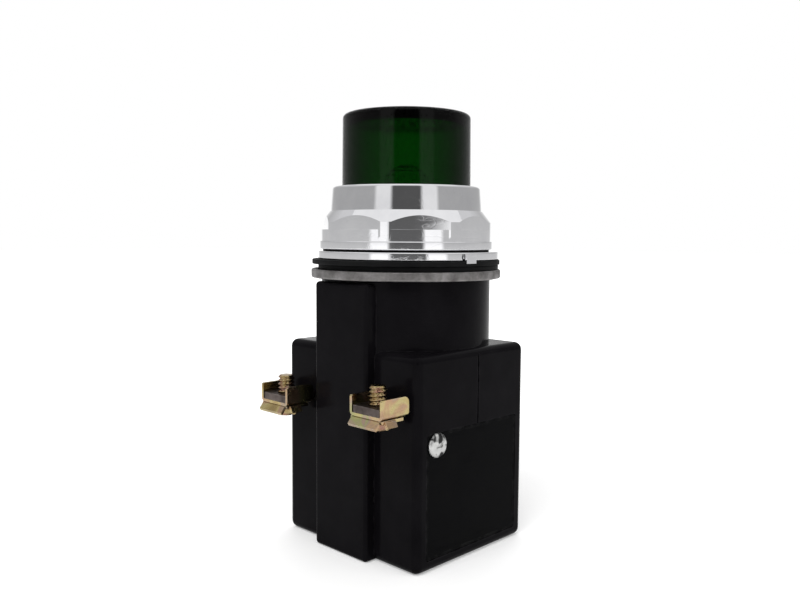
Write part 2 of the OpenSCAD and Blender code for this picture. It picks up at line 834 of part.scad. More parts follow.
module lamp_glass() {
    neck = lamp_base_r - 0.45;
    r = lamp_d / 2;
    z = lamp_base_top;
    top = z + lamp_h;
    t = lamp_wall;
    color([0.9, 0.95, 1, 0.4])
        rotate_extrude()
            polygon([
                [neck, z - 3], [neck, z + 0.4], [r, z + 2],
                [r, top - r],
                [r * 0.966, top - r * 0.741], [r * 0.866, top - r * 0.5],
                [r * 0.707, top - r * 0.293], [r * 0.5, top - r * 0.134],
                [r * 0.259, top - r * 0.034], [0, top],
                [0, top - t],
                [(r - t) * 0.259, top - t - (r - t) * 0.034],
                [(r - t) * 0.5, top - t - (r - t) * 0.134],
                [(r - t) * 0.707, top - t - (r - t) * 0.293],
                [(r - t) * 0.866, top - t - (r - t) * 0.5],
                [(r - t) * 0.966, top - t - (r - t) * 0.741],
                [r - t, top - r],
                [r - t, z + 2.2], [neck - t, z + 0.5], [neck - t, z - 3]
            ]);
}

module lamp_filament() {
    z = lamp_z + 1.2;
    top = lamp_base_top + lamp_h * 0.35;
    color([0.6, 0.6, 0.62]) {
        translate([0, 0, z]) cylinder(d = stem_d, h = lamp_base_h + 1.2);
        for (s = [-1, 1])
            rod(
                [s * stem_d / 3, 0, z + lamp_base_h],
                [s * (filament_half - support_d / 2), 0, top],
                support_d
            );
        translate([-filament_half, 0, top])
            rotate([0, 90, 0]) cylinder(d = filament_d, h = filament_half * 2, $fn = 24);
    }
}

module core_e() {
    color([0.3, 0.3, 0.32])
        translate([0, core_stack / 2, core_z])
            rotate([90, 0, 0])
                linear_extrude(height = core_stack)
                    polygon([
                        [-core_w / 2, 0], [core_w / 2, 0],
                        [core_w / 2, core_leg + window_h],
                        [core_w / 2 - core_leg, core_leg + window_h],
                        [core_w / 2 - core_leg, core_leg],
                        [core_mid / 2, core_leg],
                        [core_mid / 2, core_leg + window_h],
                        [-core_mid / 2, core_leg + window_h],
                        [-core_mid / 2, core_leg],
                        [-core_w / 2 + core_leg, core_leg],
                        [-core_w / 2 + core_leg, core_leg + window_h],
                        [-core_w / 2, core_leg + window_h]
                    ]);
}

module core_i() {
    color([0.34, 0.34, 0.36])
        translate([-core_w / 2, -core_stack / 2, yoke_z])
            cube([core_w, core_stack, core_leg]);
}

// A square-holed block around the core's middle leg.
module coil_block(out_x, out_y, z, h) {
    translate([-out_x, -out_y, z]) cube([out_x * 2, out_y * 2, h]);
}

module bobbin() {
    flange_z = [bobbin_z, split_z, bobbin_z + bobbin_h - bobbin_t];
    color([0.85, 0.83, 0.76])
        difference() {
            union() {
                coil_block(bobbin_in_x + bobbin_t, bobbin_in_y + bobbin_t,
                    bobbin_z, bobbin_h);
                for (z = flange_z) coil_block(bobbin_out_x, bobbin_out_y, z, bobbin_t);
            }
            coil_block(bobbin_in_x, bobbin_in_y, bobbin_z - 1, bobbin_h + 2);
        }
}

// One winding between two bobbin flanges.
module winding(z, h) {
    difference() {
        translate([0, 0, z])
            upright_block((bobbin_out_x - winding_inset) * 2,
                (bobbin_out_y - winding_inset) * 2, h, 2);
        coil_block(bobbin_in_x + bobbin_t, bobbin_in_y + bobbin_t, z - 1, h + 2);
    }
}

module primary_winding() {
    color([0.72, 0.4, 0.2])
        winding(bobbin_z + bobbin_t, split_z - bobbin_z - bobbin_t);
}

module secondary_winding() {
    color([0.8, 0.48, 0.25])
        winding(split_z + bobbin_t, bobbin_z + bobbin_h - split_z - bobbin_t * 2);
}

module primary_lead(s, plate_top) {
    start_y = -bobbin_out_y + winding_inset;
    z = bobbin_z + bobbin_h * 0.3;
    wire([
        [s * lead_x, start_y, z], [s * lead_x, -lead_y, z],
        [s * lead_x, -lead_y, lead_turn_z - lead_over / 2],
        [s * terminal_x, -lead_y, lead_turn_z],
        [s * terminal_x, -lead_y, plate_top - term_plate_t]
    ], lead_d);
}

module primary_lead_right() {
    color([0.1, 0.1, 0.1]) primary_lead(1, terminal_right_z);
}

module primary_lead_left() {
    color([0.1, 0.1, 0.1]) primary_lead(-1, terminal_left_z);
}

module secondary_lead(x, end_x) {
    start_y = bobbin_out_y - winding_inset;
    z = split_z + bobbin_t + lead_d * 1.8;
    wire([
        [x, start_y, z], [x, lead_y, z],
        [x, lead_y, roof_z - wall_t * 2.5], [end_x, 0, roof_z - wall_t],
        [end_x, 0, tail_z]
    ], lead_d);
}

module secondary_lead_shell() {
    color([0.7, 0.1, 0.1]) secondary_lead(lead_x, tail_x);
}

module secondary_lead_centre() {
    color([0.8, 0.8, 0.8]) secondary_lead(-lead_x, 0);
}

// The steel plate that carries one terminal screw, top face at z.
module terminal_plate(x, z) {
    color([0.4, 0.39, 0.38])
        difference() {
            translate([x, 0, z - term_plate_t])
                union() {
                    translate([-term_plate_w / 2, term_front_y, 0])
                        cube([term_plate_w, -side_y - term_front_y, term_plate_t]);
                    translate([-term_tail_w / 2, -side_y - 1, 0])
                        cube([term_tail_w, tail_end_y + side_y + 1, term_plate_t]);
                }
            translate([x, screw_y, z - term_plate_t - 1])
                cylinder(r = term_hole_r, h = term_plate_t + 2);
        }
}

// The U-shaped clamp whose ears stand up beside the plate.
module wire_clamp(x, z) {
    under = z - term_plate_t;
    ear_h = ear_up + term_plate_t + clamp_t;
    color([0.8, 0.72, 0.5])
        translate([x, 0, 0])
            difference() {
                union() {
                    translate([-ear_out, term_front_y, under - clamp_t])
                        cube([ear_out * 2, ear_l, clamp_t]);
                    for (s = [-1, 1])
                        translate([s * (ear_in + clamp_t / 2), term_front_y, under - clamp_t])
                            rotate([90, 0, 90])
                                linear_extrude(height = clamp_t, center = true)
                                    polygon([
                                        [0, 0], [ear_l - ear_r, 0], [ear_l, ear_r],
                                        [ear_l, ear_h - ear_r],
                                        [ear_l - ear_r * 0.3, ear_h - ear_r * 0.3],
                                        [ear_l - ear_r, ear_h],
                                        [0.4, ear_h], [0, ear_h - 0.4]
                                    ]);
                }
                translate([0, screw_y, under - clamp_t - 1])
                    cylinder(d = term_screw_d + 0.3, h = clamp_t + 2);
            }
}

// The lower clamp plate with flanges flared down at its front and sides.
module clamp_plate(x, z) {
    top = z - term_plate_t - clamp_t;
    half = ear_out - 0.2;
    front = term_front_y + 0.1;
    d = clamp_t;
    color([0.78, 0.72, 0.45])
        translate([x, 0, top])
            difference() {
                union() {
                    translate([-half, front, -d]) cube([half * 2, ear_l - 1.4, d]);
                    translate([0, front, 0])
                        rotate([90, 0, 90])
                            linear_extrude(height = half * 2 - 1, center = true)
                                polygon([
                                    [0.2, 0], [0, 0], [-flare_out, -flare_drop],
                                    [-flare_out + d * 0.9, -flare_drop - d * 0.3],
                                    [0.25, -d]
                                ]);
                    for (s = [-1, 1])
                        mirror([s < 0 ? 1 : 0, 0, 0])
                            translate([half, front + 2.1, 0])
                                rotate([90, 0, 0])
                                    linear_extrude(height = 2.6, center = true)
                                        polygon([
                                            [-0.2, 0], [0, 0],
                                            [flare_out * 0.6, -flare_drop],
                                            [flare_out * 0.6 - d, -flare_drop - d * 0.2],
                                            [-0.5, -d]
                                        ]);
                }
                translate([0, screw_y, -d - 1]) cylinder(d = term_screw_d + 0.3, h = d + 2);
            }
}

// The terminal screw, head down and threaded tip up.
module terminal_screw(x, z) {
    head_top = z - term_plate_t - clamp_t * 2;
    r = term_screw_d / 2;
    tip = z + term_tip;
    color([0.8, 0.7, 0.5])
        translate([x, screw_y, 0])
            difference() {
                union() {
                    translate([0, 0, head_top - term_head_h])
                        cylinder(d = term_head_d, h = term_head_h);
                    rotate_extrude()
                        polygon([
                            [0, head_top - 0.5], [r, head_top - 0.5],
                            [r, tip - 0.5], [r - 0.4, tip], [0, tip]
                        ]);
                }
                thread_grooves(r, head_top + 1.2, tip - head_top - 1.5, term_pitch, 0.34);
                translate([-term_head_d, -0.5, head_top - term_head_h - 1])
                    cube([term_head_d * 2, 1, 2]);
            }
}

module terminal_plate_right() terminal_plate(terminal_x, terminal_right_z);

module wire_clamp_right() wire_clamp(terminal_x, terminal_right_z);

module clamp_plate_right() clamp_plate(terminal_x, terminal_right_z);

module terminal_screw_right() terminal_screw(terminal_x, terminal_right_z);

module terminal_plate_left() terminal_plate(-terminal_x, terminal_left_z);

module wire_clamp_left() wire_clamp(-terminal_x, terminal_left_z);

module clamp_plate_left() clamp_plate(-terminal_x, terminal_left_z);

module terminal_screw_left() terminal_screw(-terminal_x, terminal_left_z);

housing();
rear_cover();
cover_screw_right();
cover_screw_left();
rating_plate();
plate_rivet();
bushing();
mounting_washer();
lower_gasket();
upper_gasket();
trim_ring();
nut_gasket();
retaining_nut();
lens_gasket();
lens();
socket_base();
socket_shell();
contact_insulator();
centre_contact();
contact_spring();
lamp_base();
lamp_glass();
lamp_filament();
core_e();
core_i();
bobbin();
primary_winding();
secondary_winding();
primary_lead_right();
primary_lead_left();
secondary_lead_shell();
secondary_lead_centre();
terminal_plate_right();
wire_clamp_right();
clamp_plate_right();
terminal_screw_right();
terminal_plate_left();
wire_clamp_left();
clamp_plate_left();
terminal_screw_left();
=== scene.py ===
"""A 30.5 mm panel pilot light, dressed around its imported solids.

Lengths are in millimetres until a mesh is made.
"""

import json
import logging
import math
from dataclasses import dataclass
from enum import Enum
from typing import Any, Callable, Iterator, Sequence
from contextlib import contextmanager

import bmesh
import bpy
from mathutils import Matrix, Vector

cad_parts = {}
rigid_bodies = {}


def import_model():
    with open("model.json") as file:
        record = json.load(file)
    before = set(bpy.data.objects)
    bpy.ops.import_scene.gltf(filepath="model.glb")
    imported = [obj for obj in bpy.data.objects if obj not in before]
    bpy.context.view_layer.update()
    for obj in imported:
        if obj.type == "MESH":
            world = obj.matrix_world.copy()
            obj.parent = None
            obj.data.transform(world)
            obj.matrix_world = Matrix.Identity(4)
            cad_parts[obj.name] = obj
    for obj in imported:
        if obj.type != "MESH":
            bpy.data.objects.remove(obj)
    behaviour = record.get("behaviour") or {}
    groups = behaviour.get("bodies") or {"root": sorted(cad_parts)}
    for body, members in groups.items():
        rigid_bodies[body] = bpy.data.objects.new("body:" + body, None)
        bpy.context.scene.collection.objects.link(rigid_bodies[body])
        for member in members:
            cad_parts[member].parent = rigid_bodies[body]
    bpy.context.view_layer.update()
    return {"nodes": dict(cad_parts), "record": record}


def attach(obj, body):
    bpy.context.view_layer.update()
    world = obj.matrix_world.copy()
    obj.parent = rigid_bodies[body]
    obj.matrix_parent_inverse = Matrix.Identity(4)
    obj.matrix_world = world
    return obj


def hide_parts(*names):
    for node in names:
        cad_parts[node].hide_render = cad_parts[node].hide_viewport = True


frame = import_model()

MM = 0.001
WELD = 2e-6
LOG = logging.getLogger("pilot_light")

Colour = tuple[float, float, float]
Point = tuple[float, float, float]
Flat = tuple[float, float]
Socket = bpy.types.NodeSocket


# ---------------------------------------------------------------- node trees


class Tree:
    """Places and links the nodes of one material, group or world."""

    def __init__(self, tree: bpy.types.NodeTree) -> None:
        """Keeps the tree that nodes go into."""
        self.tree = tree

    def put(self, kind: str, sockets: dict[Any, Any] | None = None, **settings: Any) -> bpy.types.Node:
        """Adds one node.

        Args:
            kind: The node's type without its leading ShaderNode.
            sockets: Input name or index to a value or to an output to link.
            settings: Properties of the node itself.

        Returns:
            The new node.
        """
        node = self.tree.nodes.new("ShaderNode" + kind)
        for key, value in settings.items():
            setattr(node, key, value)
        for key, value in (sockets or {}).items():
            if isinstance(value, bpy.types.NodeSocket):
                self.tree.links.new(value, node.inputs[key])
            else:
                node.inputs[key].default_value = value
        return node

    def math(self, operation: str, *values: Any, clamp: bool = False) -> Socket:
        """Adds a Math node and returns its output.

        Args:
            operation: The Math node's operation.
            values: Numbers or outputs, in the order of the inputs.
            clamp: Keeps the result between 0 and 1.

        Returns:
            The result's socket.
        """
        node = self.put("Math", dict(enumerate(values)), operation=operation, use_clamp=clamp)
        return node.outputs[0]

    def blend(self, factor: Any, first: Any, second: Any) -> Socket:
        """Mixes two colours.

        Args:
            factor: 0 gives the first colour and 1 the second.
            first: A colour of three numbers, or an output.
            second: A colour of three numbers, or an output.

        Returns:
            The mixed colour's socket.
        """
        node = self.put("Mix", data_type="RGBA")
        for index, value in ((0, factor), (6, first), (7, second)):
            if isinstance(value, bpy.types.NodeSocket):
                self.tree.links.new(value, node.inputs[index])
            elif index:
                node.inputs[index].default_value = (*value, 1.0)
            else:
                node.inputs[index].default_value = value
        return node.outputs[2]

    def spread(self, value: Socket, low: Any, high: Any, start: Any = 0.0, end: Any = 1.0) -> Socket:
        """Maps a value from one span to another, clamped.

        Args:
            value: The socket to map.
            low: The value that becomes start.
            high: The value that becomes end.
            start: The result at low.
            end: The result at high.

        Returns:
            The mapped value's socket.
        """
        sockets = {"Value": value, "From Min": low, "From Max": high, "To Min": start, "To Max": end}
        return self.put("MapRange", sockets).outputs[0]


def object_coordinates(tree: Tree, turn: Point = (0, 0, 0), scale: Point = (1, 1, 1)) -> Socket:
    """Object coordinates turned and scaled.

    Args:
        tree: The tree that gets the nodes.
        turn: Angles about x, y and z in degrees.
        scale: Scale along x, y and z.

    Returns:
        The vector's socket.
    """
    where = tree.put("TexCoord").outputs["Object"]
    sockets = {"Vector": where, "Rotation": [math.radians(a) for a in turn], "Scale": scale}
    return tree.put("Mapping", sockets).outputs[0]


class Effects:
    """The shader node groups that several finishes share, each built once."""

    def __init__(self) -> None:
        """Builds every group."""
        self.mottle = self._mottle()
        self.scratches = self._scratches()
        self.edge_wear = self._edge_wear()
        self.dust = self._dust()
        self.turning = self._turning()
        self.chromate = self._chromate()

    @staticmethod
    def _group(name: str, inputs: dict[str, float], output: str, kind: str = "NodeSocketFloat") -> tuple[Tree,
            bpy.types.Node, bpy.types.Node]:
        """Starts a group with number inputs and one output.

        Args:
            name: The group's name.
            inputs: Input names and default values.
            output: The output's name.
            kind: The output's socket type.

        Returns:
            The tree, its input node and its output node.
        """
        group = bpy.data.node_groups.new(name, "ShaderNodeTree")
        for label, value in inputs.items():
            socket = group.interface.new_socket(name=label, in_out="INPUT", socket_type="NodeSocketFloat")
            socket.default_value = value
        group.interface.new_socket(name=output, in_out="OUTPUT", socket_type=kind)
        return Tree(group), group.nodes.new("NodeGroupInput"), group.nodes.new("NodeGroupOutput")

    def _mottle(self) -> bpy.types.NodeTree:
        """Soft uneven patches between two values."""
        tree, take, give = self._group("mottled_patches",
                                       {"Scale": 100.0, "Detail": 3.0, "Low": 0.0, "High": 1.0}, "Value")
        where = object_coordinates(tree)
        noise = tree.put("TexNoise",
                         {"Vector": where, "Scale": take.outputs["Scale"], "Detail": take.outputs["Detail"],
                          "Roughness": 0.6})
        value = tree.spread(noise.outputs[0], 0.3, 0.7, take.outputs["Low"], take.outputs["High"])
        tree.tree.links.new(value, give.inputs[0])
        return tree.tree

    def _scratches(self) -> bpy.types.NodeTree:
        """Fine hairline marks in three directions."""
        tree, take, give = self._group("hairline_scratches", {"Scale": 300.0, "Amount": 0.3}, "Mask")
        total: Any = 0.0
        for turn, stretch in (((8, 15, 32), (1, 26, 1)), ((21, -18, 118), (1, 34, 1)),
                              ((64, 37, 71), (1, 22, 1))):
            where = object_coordinates(tree, turn, tuple(1 / s for s in stretch))
            noise = tree.put("TexNoise", {"Vector": where, "Scale": take.outputs["Scale"], "Detail": 2.0})
            ridge = tree.math("ABSOLUTE", tree.math("SUBTRACT", noise.outputs[0], 0.5))
            line = tree.spread(ridge, 0.004, 0.016, 1.0, 0.0)
            total = tree.math("MAXIMUM", total, line)
        patch = tree.put("TexNoise", {"Vector": object_coordinates(tree), "Scale": 140.0, "Detail": 2.0})
        kept = tree.spread(patch.outputs[0], 0.48, 0.62)
        mask = tree.math("MULTIPLY", tree.math("MULTIPLY", total, kept), take.outputs["Amount"])
        tree.tree.links.new(mask, give.inputs[0])
        return tree.tree

    def _edge_wear(self) -> bpy.types.NodeTree:
        """Rubbed places along the edges, broken up by noise."""
        tree, take, give = self._group("edge_wear", {"Radius": 0.0004, "Amount": 0.5}, "Mask")
        rounded = tree.put("Bevel", {"Radius": take.outputs["Radius"]}, samples=4)
        true = tree.put("NewGeometry").outputs["Normal"]
        dot = tree.put("VectorMath", {0: rounded.outputs[0], 1: true},
                       operation="DOT_PRODUCT").outputs["Value"]
        edge = tree.spread(dot, 0.995, 0.9)
        noise = tree.put("TexNoise", {"Vector": object_coordinates(tree), "Scale": 520.0, "Detail": 4.0})
        broken = tree.spread(noise.outputs[0], 0.42, 0.6)
        mask = tree.math("MULTIPLY", tree.math("MULTIPLY", edge, broken), take.outputs["Amount"])
        tree.tree.links.new(mask, give.inputs[0])
        return tree.tree

    def _dust(self) -> bpy.types.NodeTree:
        """Settled dust, thicker on what faces up."""
        tree, take, give = self._group("settled_dust", {"Amount": 0.2}, "Mask")
        normal = tree.put("SeparateXYZ", {0: tree.put("NewGeometry").outputs["Normal"]})
        up = tree.spread(normal.outputs[2], 0.2, 1.0, 0.12, 1.0)
        fine = tree.put("TexNoise", {"Vector": object_coordinates(tree), "Scale": 2600.0, "Detail": 3.0})
        coarse = tree.put("TexNoise", {"Vector": object_coordinates(tree), "Scale": 160.0, "Detail": 2.0})
        specks = tree.spread(fine.outputs[0], 0.55, 0.72)
        film = tree.spread(coarse.outputs[0], 0.4, 0.7)
        both = tree.math("MULTIPLY", specks, film)
        mask = tree.math("MULTIPLY", tree.math("MULTIPLY", both, up), take.outputs["Amount"])
        tree.tree.links.new(mask, give.inputs[0])
        return tree.tree

    def _turning(self) -> bpy.types.NodeTree:
        """Concentric marks of a lathe tool around the z axis, as a height."""
        tree, take, give = self._group("turning_marks", {"Lines per metre": 9000.0}, "Height")
        place = tree.put("SeparateXYZ", {0: object_coordinates(tree)})
        square = tree.math("ADD", tree.math("MULTIPLY", place.outputs[0], place.outputs[0]),
                           tree.math("MULTIPLY", place.outputs[1], place.outputs[1]))
        radius = tree.math("SQRT", square)
        along = tree.math("ADD", radius, tree.math("MULTIPLY", place.outputs[2], 0.83))
        step = tree.math("MULTIPLY", along, take.outputs["Lines per metre"])
        line = tree.put("TexNoise", {"W": step, "Scale": 1.0, "Detail": 3.0, "Roughness": 0.7},
                        noise_dimensions="1D")
        tree.tree.links.new(line.outputs[0], give.inputs[0])
        return tree.tree

    def _chromate(self) -> bpy.types.NodeTree:
        """The shifting colours of a yellow chromate film on zinc."""
        tree, take, give = self._group("chromate_film", {"Scale": 150.0, "Shift": 0.0}, "Colour",
                                       "NodeSocketColor")
        where = object_coordinates(tree, (23, 41, 12))
        noise = tree.put("TexNoise",
                         {"Vector": where, "Scale": take.outputs["Scale"], "Detail": 3.0, "Distortion": 0.8})
        value = tree.math("ADD", noise.outputs[0], take.outputs["Shift"])
        ramp = tree.put("ValToRGB", {0: value})
        stops = (
            (0.30, (0.24, 0.16, 0.06)), (0.40, (0.44, 0.32, 0.12)), (0.47, (0.60, 0.52, 0.26)),
            (0.54, (0.50, 0.26, 0.20)), (0.60, (0.34, 0.24, 0.28)), (0.66, (0.30, 0.38, 0.16)),
            (0.75, (0.55, 0.46, 0.20)),
        )
        fill_ramp(ramp, stops)
        tree.tree.links.new(ramp.outputs[0], give.inputs[0])
        return tree.tree


def fill_ramp(ramp: bpy.types.Node, stops: Sequence[tuple[float, Colour]]) -> None:
    """Sets a colour ramp's stops.

    Args:
        ramp: The Color Ramp node.
        stops: Positions from 0 to 1 with their colours.
    """
    elements = ramp.color_ramp.elements
    while len(elements) > 1:
        elements.remove(elements[-1])
    elements[0].position, elements[0].color = stops[0][0], (*stops[0][1], 1.0)
    for position, colour in stops[1:]:
        elements.new(position).color = (*colour, 1.0)


# ---------------------------------------------------------------- finishes


class Wear(Enum):
    """How hard a finish has been used."""

    LIGHT = 0.35
    USED = 0.7


@dataclass(frozen=True)
class Finish:
    """A painted, moulded, plated or plain finish. Each kind adds its own marks."""

    name: str
    slot: str
    colour: Colour
    second: Colour
    roughness: Flat = (0.35, 0.5)
    metallic: float = 0.0
    specular: float = 0.5
    coat: float = 0.0
    patch: float = 160.0
    grain: float = 0.0
    grain_scale: float = 2500.0
    turned: float = 0.0
    turned_lines: float = 9000.0
    scratches: float = 0.2
    worn: Wear = Wear.LIGHT
    worn_colour: Colour = (0.5, 0.5, 0.5)
    dust: float = 0.1

    def build(self, effects: Effects) -> bpy.types.Material:
        """Makes the material.

        Args:
            effects: The shared node groups.

        Returns:
            The material.
        """
        material = bpy.data.materials.new(self.name)
        material.use_nodes = True
        material.node_tree.nodes.clear()
        tree = Tree(material.node_tree)
        shader = tree.put("BsdfPrincipled",
                          {"Metallic": self.metallic, "Specular IOR Level": self.specular,
                           "Coat Weight": self.coat})
        if self.coat:
            shader.inputs["Coat Roughness"].default_value = 0.08
        patches = self.group(tree, effects.mottle, Scale=self.patch)
        marks = self.group(tree, effects.scratches, Amount=self.scratches)
        colour = self.shade(tree, effects, patches)
        edges = self.group(tree, effects.edge_wear, Amount=self.worn.value)
        colour = tree.blend(edges, colour, self.worn_colour)
        settled = self.group(tree, effects.dust, Amount=self.dust)
        colour = tree.blend(settled, colour, (0.55, 0.53, 0.5))
        rough = tree.spread(patches, 0, 1, *self.roughness)
        rough = tree.math("ADD", rough, tree.math("MULTIPLY", marks, 0.3))
        rough = tree.math("ADD", rough, tree.math("MULTIPLY", settled, 0.4), clamp=True)
        height = tree.math("MULTIPLY", marks, -0.4)
        if self.grain:
            noise = tree.put("TexNoise",
                             {"Vector": object_coordinates(tree), "Scale": self.grain_scale, "Detail": 4.0,
                              "Roughness": 0.65})
            height = tree.math("ADD", height, tree.math("MULTIPLY", noise.outputs[0], self.grain))
        if self.turned:
            lines = self.group(tree, effects.turning, **{"Lines per metre": self.turned_lines})
            height = tree.math("ADD", height, tree.math("MULTIPLY", lines, self.turned))
        bump = tree.put("Bump", {"Height": height, "Distance": 0.00002, "Strength": 1.0})
        for key, value in (("Base Color", colour), ("Roughness", rough), ("Normal", bump.outputs[0])):
            tree.tree.links.new(value, shader.inputs[key])
        tree.put("OutputMaterial", {"Surface": shader.outputs[0]})
        return material

    def shade(self, tree: Tree, effects: Effects, patches: Socket) -> Socket:
        """The finish's own colours.

        Args:
            tree: The material's nodes.
            effects: The shared node groups.
            patches: A mask of soft patches.

        Returns:
            The colour's socket.
        """
        return tree.blend(patches, self.colour, self.second)

    @staticmethod
    def group(tree: Tree, group: bpy.types.NodeTree, **values: float) -> Socket:
        """Places a shared group.

        Args:
            tree: The material's nodes.
            group: The group's tree.
            values: Its inputs.

        Returns:
            The group's only output.
        """
        node = tree.put("Group")
        node.node_tree = group
        for key, value in values.items():
            node.inputs[key].default_value = value
        return node.outputs[0]


@dataclass(frozen=True)
class Chromate(Finish):
    """Yellow chromate on zinc, whose film shifts between straw, pink and green."""

    film: float = 150.0

    def shade(self, tree: Tree, effects: Effects, patches: Socket) -> Socket:
        """The film's colours over the plate."""
        node = tree.put("Group")
        node.node_tree = effects.chromate
        node.inputs["Scale"].default_value = self.film
        return tree.blend(0.55, tree.blend(patches, self.colour, self.second), node.outputs[0])


@dataclass(frozen=True)
class Blackened(Finish):
    """Bright metal with patches of black lacquer left on it, scattered by noise."""

    def shade(self, tree: Tree, effects: Effects, patches: Socket) -> Socket:
        """Bright metal where the lacquer has been rubbed off."""
        noise = tree.put("TexNoise",
                         {"Vector": object_coordinates(tree, (0, 0, 20)), "Scale": 330.0, "Detail": 3.0,
                          "Distortion": 0.6})
        left = tree.spread(noise.outputs[0], 0.53, 0.60)
        return tree.blend(left, tree.blend(patches, self.colour, self.second), (0.03, 0.03, 0.03))


@dataclass(frozen=True)
class Stacked(Finish):
    """Thin layers or turns that lie side by side along one axis."""

    axis: int = 1
    pitch: float = 0.0005

    def shade(self, tree: Tree, effects: Effects, patches: Socket) -> Socket:
        """A dark line between each layer and the next."""
        place = tree.put("SeparateXYZ", {0: object_coordinates(tree)}).outputs[self.axis]
        turn = tree.math("MULTIPLY", place, 2 * math.pi / self.pitch)
        line = tree.spread(tree.math("SINE", turn), -0.95, -0.3)
        base = tree.blend(patches, self.colour, self.second)
        return tree.blend(line, tuple(c * 0.35 for c in self.colour), base)


@dataclass(frozen=True)
class Glass(Finish):
    """Clear or tinted glass or plastic."""

    ior: float = 1.49
    absorbs: Colour = (1, 1, 1)
    density: float = 0.0

    def build(self, effects: Effects) -> bpy.types.Material:
        """Makes the glass."""
        material = bpy.data.materials.new(self.name)
        material.use_nodes = True
        material.node_tree.nodes.clear()
        tree = Tree(material.node_tree)
        shader = tree.put("BsdfPrincipled",
                          {"Metallic": 0.0, "IOR": self.ior, "Transmission Weight": 1.0,
                           "Specular IOR Level": self.specular})
        patches = self.group(tree, effects.mottle, Scale=self.patch)
        marks = self.group(tree, effects.scratches, Amount=self.scratches)
        rough = tree.math("ADD", tree.spread(patches, 0, 1, *self.roughness),
                          tree.math("MULTIPLY", marks, 0.12))
        colour = self.shade(tree, effects, patches)
        bump = tree.put("Bump", {"Height": tree.math("MULTIPLY", marks, -0.3), "Distance": 0.00001})
        for key, value in (("Base Color", colour), ("Roughness", rough), ("Normal", bump.outputs[0])):
            tree.tree.links.new(value, shader.inputs[key])
        output = tree.put("OutputMaterial", {"Surface": shader.outputs[0]})
        if self.density:
            body = tree.put("VolumeAbsorption", {"Color": (*self.absorbs, 1), "Density": self.density})
            tree.tree.links.new(body.outputs[0], output.inputs["Volume"])
        return material


